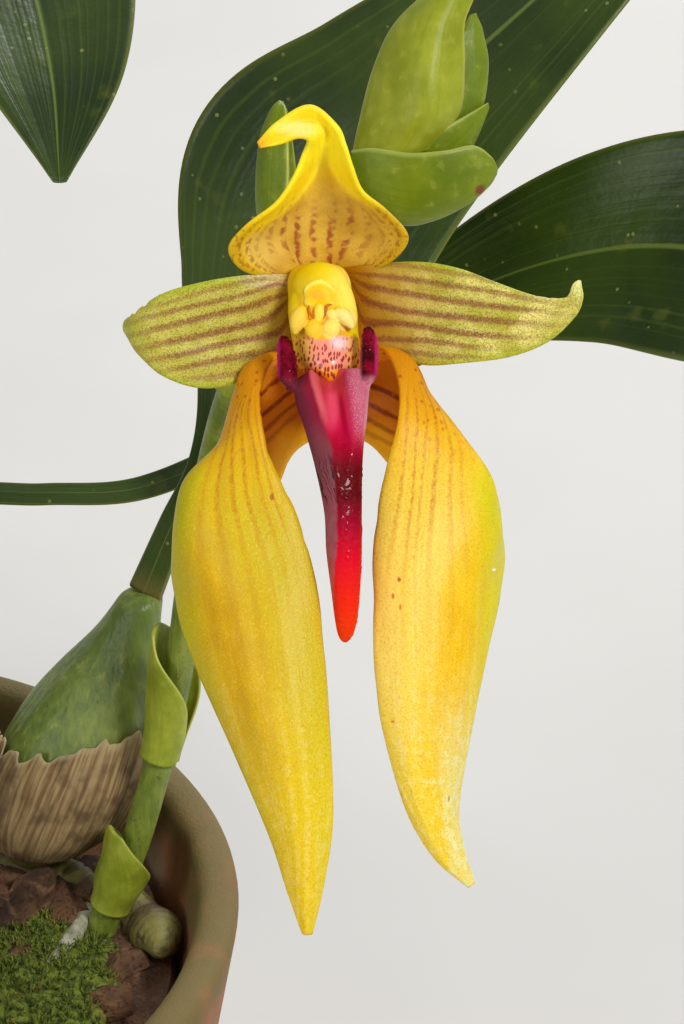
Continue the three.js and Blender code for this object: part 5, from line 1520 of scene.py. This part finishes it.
# A leaf's front skin is its underside, because its rails run from right to left.
leaf.base = leaf.mix(under, upper, back)
leaf.paint((84, 104, 34), veins.step(0.52, 0.68) * 0.22)
leaf.paint((112, 128, 52), (1 - abs(across).step(0.01, 0.05)) * 0.6)
leaf.paint((110, 118, 44), abs(across).step(0.95, 1.0) * 0.5)
leaf.paint((104, 110, 32), patch.step(0.62, 0.74) * 0.3)
specks = 1 - leaf.cells(here, 2.4).step(0.07, 0.13)
leaf.paint((150, 154, 92), specks * patch.step(0.44, 0.54) * 0.5)
foot = 1 - along.step(0.0, 0.05)
leaf.paint((126, 106, 52), foot * 0.5)
leaf.set("Roughness", 0.44 + fine * 0.14 - back * 0.12)
leaf_finish = leaf.done((veins, 0.1), (fine, 0.03), (patch, 0.25))

# %% Leaf maker
LEAF_THICKNESS = 1.2
PETIOLE_THICKNESS = 2.4
LEAF_CHANNEL = 0.2  # how far the margins stand above the midrib, as a share of the half width


def leaf_piece(name, stations, face, wave, rows=150, columns=45):
    """A leaf along its stations. face says where its upper side looks, and wave how high it waves."""
    stations = np.asarray(stations, float)
    s = even(rows)
    path = smooth_path(stations[:, :3], s)
    half = np.maximum(smooth_path(stations[:, 3:], s), 0.25)
    ahead = unit(np.gradient(path, axis=0))
    side = unit(np.cross(ahead, smooth_path(face, s)))
    up = unit(np.cross(side, ahead))
    v = np.linspace(-1, 1, columns)[None, :]
    opened = np.clip((s - 0.25) / 0.2, 0, 1)[:, None]
    opened = opened**2 * (3 - 2 * opened)
    along = s[:, None]
    ripple = wave * opened * (1 - along) * v**3 * np.sin(17 * along + 1)
    rib = np.exp(-((v * half / 1.1) ** 2)) * opened * (1 - along) ** 0.4
    lift = LEAF_CHANNEL * half * v**2 + ripple - 0.7 * rib
    grid = path[:, None] + side[:, None] * (half * v)[..., None] + up[:, None] * lift[..., None]
    grow = np.clip(along / 0.3, 0, 1)
    body = PETIOLE_THICKNESS + (LEAF_THICKNESS - PETIOLE_THICKNESS) * grow**2 * (3 - 2 * grow)
    round_edge = np.sqrt(1 - 0.94 * np.abs(v) ** (2 + 5 * opened))
    thickness = (body * round_edge + 0.7 * rib) * np.minimum(1, 0.3 + 8 * (1 - along))
    return piece(name, skin(grid, thickness), leaf_finish, "leaf", name)


# %% Leaves
# Each station of a leaf is a point of its midrib and half its width there.
LEAVES = [
    {
        "stations": [
            [-32.2, -35.2, 131.6, 2],
            [-36, -40, 142, 1.9],
            [-43, -48, 156, 5],
            [-56, -62, 177, 13],
            [-72, -78, 197, 16],
            [-88, -93, 208, 15.4],
            [-103, -107, 207, 12.6],
            [-113, -117, 197, 7.4],
            [-118, -122, 187, 0.8],
        ],
        "face": [[0.6, 0.5, 0.3], [0.2, 0.3, 0.9], [-0.5, -0.5, 0.6]],
        "wave": 1.2,
    },
    {
        "stations": [
            [-43.1, -5, 136.6, 2.2],
            [-48, -4, 147, 2],
            [-56, -2, 162, 6],
            [-73, 1, 189, 15],
            [-93, 5, 211, 18],
            [-114, 10, 223, 17.6],
            [-134, 15, 223, 14.6],
            [-147, 18, 214, 8.4],
            [-154, 20, 203, 0.8],
        ],
        "face": [[0.8, 0, 0.3], [0.4, 0.1, 0.9], [-0.6, 0.1, 0.7]],
        "wave": 1.5,
    },
    {
        "stations": [
            [-22.1, 24.2, 138.6, 2.2],
            [-22, 27, 150, 2],
            [-19, 32, 168, 5],
            [-9, 39, 196, 13],
            [4, 41, 219, 15.6],
            [19, 35, 233, 15.4],
            [31, 21, 237, 14.4],
            [38, 4, 234, 12.6],
            [42, -14, 228, 8.6],
            [43.5, -27, 221, 0.8],
        ],
        "face": [[-0.6, 0.8, 0.2], [-0.5, 0.8, 0.3], [-0.2, 0.3, 0.9], [0.1, -0.3, 1]],
        "wave": 0.9,
    },
    {
        "stations": [
            [18.3, 36.2, 138.6, 2],
            [24, 37.5, 144, 1.6],
            [35, 35.5, 145.5, 1.5],
            [48, 34.5, 147, 1.6],
            [62, 36.5, 153, 1.9],
            [77, 37.5, 164, 3.4],
            [91, 33, 177, 7.4],
            [107, 25.6, 186.5, 12],
            [121, 17.5, 190.5, 15.2],
            [138, 8, 190.5, 14.8],
            [156, -2, 186, 11.2],
            [174, -13, 176, 0.8],
        ],
        "face": [[0.1, -0.6, 0.8], [0.1, -0.75, 0.65], [0.1, -0.8, 0.6]],
        "wave": 0.7,
    },
    {
        "stations": [
            [48.7, 26.1, 136.1, 2.3],
            [52.6, 26.6, 146, 2],
            [57, 24.6, 156, 2.4],
            [60.6, 23.2, 166.8, 4.8],
            [64.6, 23.2, 179.6, 11.6],
            [71.6, 24.2, 193.5, 18.2],
            [82.6, 26.3, 204.8, 15.2],
            [99.2, 31, 219, 10.6],
            [113, 38, 229.6, 6.8],
            [126, 47.6, 238, 0.8],
        ],
        "face": [[-0.2, -0.9, 0.4], [-0.3, -0.8, 0.5], [-0.4, -0.7, 0.6]],
        "wave": 1.4,
    },
]
for k, blade_shape in enumerate(LEAVES, 1):
    leaf_piece("leaf_" + str(k), **blade_shape)

# %% [markdown]
# ## Bulbs
#
# Each pseudobulb is a smooth green flask with five soft ribs, fine creases down its sides and a
# blush of brown at its foot. A flask is a stack of rings, so ribs and creases are sums of cosines in
# the radius. Their widest radius and profile are those of the CAD solids.

# %% Bulb finish
flask = Finish("pseudobulb", (0.08, 2.0))
here = flask.place()
_, _, z = flask.parts(here)
slow = flask.noise(here, 9, 3)
streak = flask.noise(flask.stretched(here, (1, 1, 0.12)), 1.1, 3)
spot = flask.noise(here, 0.8, 2)
flask.base = flask.mix((92, 112, 40), (128, 142, 58), (slow * 0.5 + streak * 0.5).step(0.35, 0.65))
flask.paint((164, 162, 88), streak.step(0.6, 0.75) * 0.4)
flask.paint((112, 82, 42), (1 - (z + slow * 14).step(101, 116)) * 0.7)
flask.paint((84, 66, 34), spot.step(0.68, 0.74) * 0.5)
flask.set("Roughness", 0.34 + streak * 0.16)
bulb_finish = flask.done((streak, 0.3), (spot, 0.05))

# %% Bulbs
BULBS = [
    {"foot": [-26, -30, 97.6], "top": [-32, -35, 132], "radius": 9.8},
    {"foot": [-36, -7, 97.6], "top": [-43, -5, 137], "radius": 10.4},
    {"foot": [-20, 16, 97.6], "top": [-22, 24, 139], "radius": 10.6},
    {"foot": [10, 29, 97.6], "top": [18, 36, 139], "radius": 10.6},
    {"foot": [33, 21, 97.6], "top": [48.5, 26, 136.5], "radius": 10.8},
]
BULB_PROFILE = [0.36, 0.86, 1, 0.94, 0.72, 0.42, 0.24]
BULB_RIBS = 5


def bulb_place(foot, top, t):
    return np.asarray(foot) + np.subtract(top, foot) * t[..., None]


def bulb_radius(radius, t, angle):
    profile = smooth_path(np.asarray(BULB_PROFILE), np.ravel(t)).reshape(np.shape(t))
    ribs = 0.05 * np.cos(BULB_RIBS * angle) + 0.006 * np.cos(23 * angle + 3 * np.sin(9 * t))
    return radius * profile * (1 + np.sin(math.pi * t) * ribs)


t, angle = np.meshgrid(even(90), all_round(80), indexing="ij")
crown = np.sqrt(1 - np.clip((t - 0.96) / 0.041, 0, 1) ** 2)
for k, bulb in enumerate(BULBS, 1):
    radius = bulb_radius(bulb["radius"], t, angle) * crown
    rings = bulb_place(bulb["foot"], bulb["top"], t) + ringed(radius, angle, 0)
    name = "pseudobulb_" + str(k)
    piece(name, rings_to_skin(rings), bulb_finish, "pseudobulb", name)

# %% [markdown]
# ## Dry husks
#
# The sheaths that wrapped the young bulbs dry to torn brown paper. Each is a sheet that follows its
# bulb a little way off, is crinkled, and ends in a ragged hem.

# %% Husks
paper = Finish("husk", (0.1, 1.0), Roughness=0.8)
across, along, _ = paper.blade()
here = paper.place()
fibre = paper.noise(paper.vector(across * 46, along * 2), 1.0, 3)
stain = paper.noise(here, 4, 3)
paper.base = paper.mix((126, 96, 58), (170, 144, 98), fibre.step(0.35, 0.65))
paper.paint((78, 54, 30), stain.step(0.45, 0.68) * 0.7)
paper.paint((196, 178, 132), along.step(0.93, 1.0) * 0.5)
husk_finish = paper.done((fibre, 0.12), (stain, 0.25))

HUSK_TEARS = [(0.03, 17, 0), (0.012, 5, 2), (0.008, 1.9, 3)]  # depth, width and seed
HUSKS = [
    {"bulb": 1, "start": 0.08, "stop": 0.62, "middle": 200, "wrap": 235, "seed": 3},
    {"bulb": 3, "start": 0.08, "stop": 0.5, "middle": 250, "wrap": 250, "seed": 6},
    {"bulb": 4, "start": 0.08, "stop": 0.56, "middle": 285, "wrap": 250, "seed": 12},
]


def husk_surface(bulb, start, stop, middle, wrap, seed, rows=46, columns=110):
    """A sheet a little way off its bulb, with a torn hem."""
    s = even(rows)[:, None]
    v = np.linspace(-1, 1, columns)[None, :]
    line = np.stack([v[0] * 30, 0 * v[0], 0 * v[0]], -1)
    ragged = sum(depth * lumps(line, width, seed + more) for depth, width, more in HUSK_TEARS)
    t = start + (stop - start) * s * (1 - 0.45 * v * v) + s**5 * ragged
    angle = np.radians(middle + v * wrap / 2) + 0 * s
    bulb = BULBS[bulb]
    crinkle = lumps(np.stack([angle * 9, s * 14 + 0 * v, 0 * angle], -1), 8, seed + 1)
    r = bulb_radius(bulb["radius"], t, angle) + 0.62 + 0.6 * s + 0.28 * crinkle * s**0.5
    return bulb_place(bulb["foot"], bulb["top"], t) + ringed(r, angle, 0)


for k, husk in enumerate(HUSKS, 1):
    name = "husk_" + str(k)
    grid = husk_surface(**husk)
    piece(name, skin(grid, 0.22), husk_finish, "husk", name)

# %% [markdown]
# ## Creeping stem and roots
#
# All the bulbs stand on one creeping stem that runs over the bark. It is ringed with the scars of old
# scales. Its roots are white and corky with green showing through, and two of them have found their
# way over the rim of the pot.

# %% Creeping stem
RHIZOME_RADIUS = 3.5
RHIZOME = [
    [-19, -40, 92],
    [-26, -30, 93.6],
    [-33, -19, 93.3],
    [-36, -7, 93.6],
    [-31, 7, 93.2],
    [-20, 16, 93.6],
    [-5, 23, 93.2],
    [10, 29, 93.6],
    [23, 27, 93.2],
    [33, 21, 93.6],
    [42, 16, 93.2],
    [49, 9, 93.6],
    [51, 1, 96],
]
creeper = Finish("rhizome", Roughness=0.62)
here = creeper.place()
bark_like = creeper.noise(creeper.stretched(here, (0.5, 0.5, 1)), 1.2, 4)
slow = creeper.noise(here, 7)
creeper.base = creeper.mix((96, 84, 44), (138, 132, 66), slow.step(0.35, 0.65))
creeper.paint((74, 52, 30), bark_like.step(0.5, 0.66) * 0.7)
rhizome_finish = creeper.done((bark_like, 0.5))

t = even(420)
knots = 1 + 0.1 * np.sin(26 * math.pi * t) - 0.05 * np.abs(np.sin(78 * math.pi * t)) ** 8
rounded = np.sqrt(np.clip(1 - np.clip((t - 0.9) / 0.1, 0, 1) ** 2 * 0.9, 0, 1))
rhizome_shape = stem(smooth_path(RHIZOME, t), RHIZOME_RADIUS * knots * rounded, 30)
piece("rhizome", rhizome_shape, rhizome_finish, "rhizome", "rhizome")

# %% Roots
ROOT_RADIUS = 1.25
ROOTS = [  # distance from the pot's middle, angle in degrees, height
    [[33, 190, 93], [24, 205, 95.2], [15, 235, 95], [12, 280, 94], [14, 310, 88]],
    [[26, 135, 93], [14, 130, 95], [6, 60, 95.2], [14, 0, 94.6], [22, 340, 92], [26, 330, 86]],
    [[27, 70, 93], [15, 55, 95.4], [18, 10, 95], [30, 350, 94.6], [40, 338, 93], [46, 332, 87]],
    [[45, 228, 93], [51, 236, 97], [55, 241, 103], [58.6, 244, 107.4], [62.9, 247, 106],
     [64.2, 249, 97], [63.6, 251, 84]],
    [[45, 24, 93], [40, 10, 95], [36, 350, 95], [40, 325, 94], [44, 300, 88]],
    [[37, 172, 93], [46, 170, 95.5], [51.5, 164, 99], [55.5, 158, 104.6], [59, 153, 107.4],
     [62.9, 149, 105.4], [63.6, 145, 92]],
]
cork = Finish("root", Roughness=0.82)
here = cork.place()
grey = cork.noise(here, 2.2, 3)
pits = cork.noise(here, 0.4, 2)
cork.base = cork.mix((150, 148, 118), (204, 200, 176), grey.step(0.35, 0.65))
cork.paint((110, 122, 66), grey.step(0.6, 0.75) * 0.6)
root_finish = cork.done((pits, 0.12), (grey, 0.2))


def from_polar(points):
    r, degrees, z = np.asarray(points, float).T
    return ringed(r, np.radians(degrees), z)


def root(points, seed):
    t = even(110)
    path = smooth_path(from_polar(points), t)
    thick = ROOT_RADIUS * (1 + 0.1 * lumps(path, 9, seed))
    thick = thick * np.where(t > 0.9, np.sqrt(np.clip(1 - ((t - 0.9) / 0.102) ** 2, 0, 1)), 1)
    return stem(path, thick, 16)


piece("roots", together(*[root(points, k) for k, points in enumerate(ROOTS)]), root_finish, "rhizome")

# %% [markdown]
# ## Pot
#
# A hand-sized clay pot with a thick collar. Clay breathes, so an old pot wears its watering on the
# outside: a dark damp foot, a white bloom of salts below the collar and green algae along the rim.
# The wall is turned from a profile with softened corners, and the drain holes are cut afterwards.

# %% Clay finish
clay = Finish("clay")
here = clay.place()
_, _, z = clay.parts(here)
slow = clay.noise(here, 26, 4)
patch = clay.noise(here, 7, 4)
grain = clay.noise(here, 0.45, 3)
clay.base = clay.mix((150, 92, 60), (176, 114, 76), slow.step(0.35, 0.65))
clay.paint((122, 74, 48), grain.step(0.56, 0.7) * 0.35)
bloom = (patch * 0.6 + slow * 0.4).step(0.5, 0.62) * z.step(20, 55) * (1 - z.step(88, 103))
clay.paint((206, 192, 170), bloom * 0.65)
algae = (z + (patch - 0.5) * 34).step(88, 106)
clay.paint((96, 96, 44), algae * 0.8)
damp = 1 - (z + (slow - 0.5) * 40).step(8, 34)
clay.paint((104, 66, 44), damp * 0.7)
clay.set("Roughness", 0.86 - damp * 0.14 - algae * 0.1)
clay_finish = clay.done((grain, 0.12), (patch, 0.25))

# %% Pot
POT_HEIGHT = 105
POT_RIM_RADIUS = 61.5
POT_FOOT_RADIUS = 44.5
POT_WALL = 5.5
POT_FLOOR = 7
COLLAR_HEIGHT = 21  # the thicker band under the rim
COLLAR_STEP = 3
DRAIN_HOLES = 4
DRAIN_RADIUS = 4.5
DRAIN_CIRCLE = 24
CORNER_RADIUS = 2.4


def inner_radius(z):
    """The pot's inside radius at a height."""
    foot = POT_FOOT_RADIUS - POT_WALL
    return foot + (POT_RIM_RADIUS - POT_WALL - foot) * z / POT_HEIGHT


def softened(profile, radius, steps):
    """A profile with each corner turned into a short curve."""
    profile = np.asarray(profile, float)
    curve = [profile[0]]
    for a, corner, b in zip(profile, profile[1:], profile[2:]):
        reach = min(radius, np.linalg.norm(a - corner) / 2, np.linalg.norm(b - corner) / 2)
        start, stop = corner + unit(a - corner) * reach, corner + unit(b - corner) * reach
        for t in even(steps):
            curve.append((1 - t) ** 2 * start + 2 * t * (1 - t) * corner + t * t * stop)
    return np.array(curve + [profile[-1]])


def turned(profile, sides):
    """Turns a profile of radius and height round the pot's axis."""
    r, z = np.asarray(profile, float).T[:, :, None]
    return rings_to_skin(ringed(r, all_round(sides), z))


collar = POT_HEIGHT - COLLAR_HEIGHT
under_collar = inner_radius(collar) + POT_WALL - COLLAR_STEP
pot_profile = [
    [6, 0],
    [POT_FOOT_RADIUS - COLLAR_STEP, 0],
    [under_collar, collar],
    [inner_radius(collar) + POT_WALL, collar + 0.6],
    [POT_RIM_RADIUS, POT_HEIGHT],
    [POT_RIM_RADIUS - POT_WALL, POT_HEIGHT],
    [inner_radius(POT_FLOOR), POT_FLOOR],
    [6, POT_FLOOR],
]
pot_points, pot_faces = turned(softened(pot_profile, CORNER_RADIUS, steps=7), sides=128)
height = pot_points[:, 2:]
throwing = 0.1 * np.sin(height * 1.3) + 0.06 * np.sin(height * 0.57 + 1)
outward = unit(pot_points * [1, 1, 0])
on_wall = (height > 3) & (height < POT_HEIGHT - 3)
pot_points = pot_points + outward * throwing * on_wall
pot = piece("pot", (pot_points, pot_faces), clay_finish, "clay", "pot")

drills = []
for angle in all_round(DRAIN_HOLES) + math.pi / DRAIN_HOLES:
    path = [ringed(DRAIN_CIRCLE, angle, height) for height in (-2, POT_FLOOR + 2)]
    drills.append(stem(path, DRAIN_RADIUS, 40))
drill = new_object("drill", *together(*drills))
cut = pot.modifiers.new("drain_holes", "BOOLEAN")
cut.operation = "DIFFERENCE"
cut.solver = "EXACT"
cut.object = drill
drilled = bpy.data.meshes.new_from_object(pot.evaluated_get(bpy.context.evaluated_depsgraph_get()))
pot.modifiers.clear()
pot.data = drilled
bpy.data.objects.remove(drill)
pot.data.set_sharp_from_angle(angle=math.radians(50))
print("pot with its drain holes has", len(pot.data.polygons), "faces")

# %% [markdown]
# ## Potting bark
#
# The plant grows in chips of pine bark. Under them a rough bed fills the pot. On it lie some three
# hundred chips, each an irregular slab with broken edges, thrown at random but always the same way,
# because the dice start from a fixed number.

# %% Bark finish
bark = Finish("bark", Roughness=0.9)
here = bark.place()
layer = bark.noise(bark.stretched(here, (0.35, 0.35, 1.6)), 1.6, 4)
chip_tone = bark.noise(here, 8, 2)
crumb = bark.noise(here, 0.6, 3)
bark.base = bark.mix((58, 38, 24), (112, 76, 48), chip_tone.step(0.3, 0.7))
bark.paint((142, 104, 70), layer.step(0.52, 0.66) * 0.5)
bark.paint((34, 24, 18), crumb.step(0.52, 0.66) * 0.6)
bark_finish = bark.done((layer, 0.6), (crumb, 0.25))

# %% Bark
SOIL_LEVEL = 93
CHIPS = 300
CHIP_SIZES = [(3.2, 7.4), (2.2, 4.4), (0.9, 2.1)]  # half its length, width and depth
CHIP_RINGS = [(-1, 0.35), (-1, 0.86), (-0.6, 1), (0.5, 0.98), (1, 0.84), (1.05, 0.35)]  # height, width


def bed(sides=96):
    """The rough filling under the chips, from the pot's floor up."""
    angle = all_round(sides)
    full = inner_radius(SOIL_LEVEL) - 1.2
    low = [(inner_radius(10) - 4.4, POT_FLOOR + 0.3), (inner_radius(10) - 1, 10.4), (full, SOIL_LEVEL - 4)]
    rings = [ringed(r, angle, z) for r, z in low]
    for share in np.linspace(0.985, 0.02, 34):
        flat = ringed(full * share, angle, 0.0)
        height = SOIL_LEVEL + lumps(flat, 9, 2) * 0.7 + lumps(flat, 3, 4) * 0.4
        rings.append(flat + [0, 0, 1] * height[:, None])
    return rings_to_skin(np.stack(rings))


def chip(random, sides=9):
    """A flat broken piece of bark, thrown down somewhere in the pot."""
    angle = (np.arange(sides) + random.uniform(-0.3, 0.3, sides)) * 2 * math.pi / sides
    length, width, depth = (random.uniform(*sizes) for sizes in CHIP_SIZES)
    edge = random.uniform(0.82, 1.12, sides)
    outline = np.stack([length * np.cos(angle) * edge, width * np.sin(angle) * edge, 0 * angle], -1)
    rings = []
    for height, share in CHIP_RINGS:
        rough = random.normal(0, 0.12, (sides, 3)) * [1, 1, 0.9]
        rings.append(outline * share + [0, 0, height * depth] + rough)
    tilt_x, tilt_y = random.normal(0, 0.3, 2)
    spin = turning(random.uniform(0, 2 * math.pi), Z_AXIS)
    turn = spin @ turning(tilt_y, Y_AXIS) @ turning(tilt_x, X_AXIS)
    points, faces = rings_to_skin(np.stack(rings))
    far = (inner_radius(SOIL_LEVEL) - 8.5) * math.sqrt(random.uniform())
    way = random.uniform(0, 2 * math.pi)
    return points @ turn.T + ringed(far, way, SOIL_LEVEL + random.uniform(-0.8, 1.6)), faces


random = np.random.default_rng(11)
chips = [chip(random) for _ in range(CHIPS)]
bark_bed = piece("potting_bark", together(bed(), *chips), bark_finish, "bark", "potting_bark")
bark_bed.data.set_sharp_from_angle(angle=math.radians(38))

# %% [markdown]
# ## Moss
#
# Moss is a crowd of tiny shoots. A soft cushion carries the colour, and thousands of shoots stand on
# it, each a star of pointed leaflets. They are plain triangles in one mesh, which is light enough
# for a cushion of several thousand shoots.

# %% Moss finish
moss = Finish("moss", (0.1, 1.0), Roughness=0.8)
here = moss.place()
slow = moss.noise(here, 7, 3)
fine = moss.noise(here, 0.9, 2)
moss.base = moss.mix((70, 86, 22), (128, 140, 44), fine.step(0.35, 0.65))
moss.paint((150, 142, 62), slow.step(0.52, 0.68) * 0.6)
moss.paint((52, 58, 20), slow.step(0.62, 0.72) * 0.4)
moss_finish = moss.done((fine, 0.5))

# %% Moss cushions
LEAFLETS = 6
MOSS = [
    {"radius": 30, "angle": 320, "deep": 19, "wide": 62, "height": 4.2, "seed": 3, "shoots": 4200},
    {"radius": 36, "angle": 232, "deep": 12.5, "wide": 17, "height": 3.6, "seed": 8, "shoots": 1000},
    {"radius": 44, "angle": 100, "deep": 7.5, "wide": 34, "height": 3.2, "seed": 5, "shoots": 1400},
]


def cushion_surface(share, turn, radius, angle, deep, wide, height, seed):
    """Points of a cushion, share of the way out from its middle."""
    edge = 1 + 0.07 * np.sin(5 * turn + seed) + 0.05 * np.sin(11 * turn)
    r = radius + deep * edge * share * np.cos(turn)
    r = np.minimum(r, inner_radius(SOIL_LEVEL) - 1.6)
    flat = from_polar(np.stack([r, angle + wide * edge * share * np.sin(turn), 0 * r], -1).reshape(-1, 3))
    flat = flat.reshape(share.shape + (3,))
    dome = SOIL_LEVEL + 0.5 + height * (1 - share**3) + 0.5 * lumps(flat, 7, seed)
    return flat + dome[..., None] * [0, 0, 1]


def shoots(ground, up, random):
    """Stars of leaflets, one on each point of the ground."""
    count = len(ground)
    stars = []
    for _ in range(LEAFLETS):
        way = unit(up + random.normal(0, 0.35, (count, 3)) + unit(random.normal(size=(count, 3))) * 0.8)
        side = unit(np.cross(way, random.normal(size=(count, 3))))
        length = random.uniform(0.7, 1.5, (count, 1))
        root, half = ground + up * 0.25, side * 0.16
        stars.append(np.stack([root - half, root + half, root + way * length], 1))
    points = np.concatenate(stars).reshape(-1, 3)
    return points, np.arange(len(points)).reshape(-1, 3)


for k, cushion in enumerate(MOSS, 1):
    count = cushion.pop("shoots")
    random = np.random.default_rng(cushion["seed"])
    share, turn = np.meshgrid(np.linspace(1, 0.03, 40), all_round(120), indexing="ij")
    body = cushion_surface(share, turn, **cushion)
    skirt = body[:1] * [1, 1, 0] + [0, 0, SOIL_LEVEL - 3]
    shape = rings_to_skin(np.concatenate([skirt, body]))
    share, turn = np.sqrt(random.uniform(size=count)), random.uniform(0, 2 * math.pi, count)
    ground = cushion_surface(share, turn, **cushion)
    outward = unit((ground - ground.mean(0)) * [1, 1, 0])
    lean_out = unit([0, 0, 1] + 0.5 * outward * share[:, None] ** 3)
    name = "moss_" + str(k)
    piece(name, together(shape, shoots(ground, lean_out, random)), moss_finish, "moss", name)
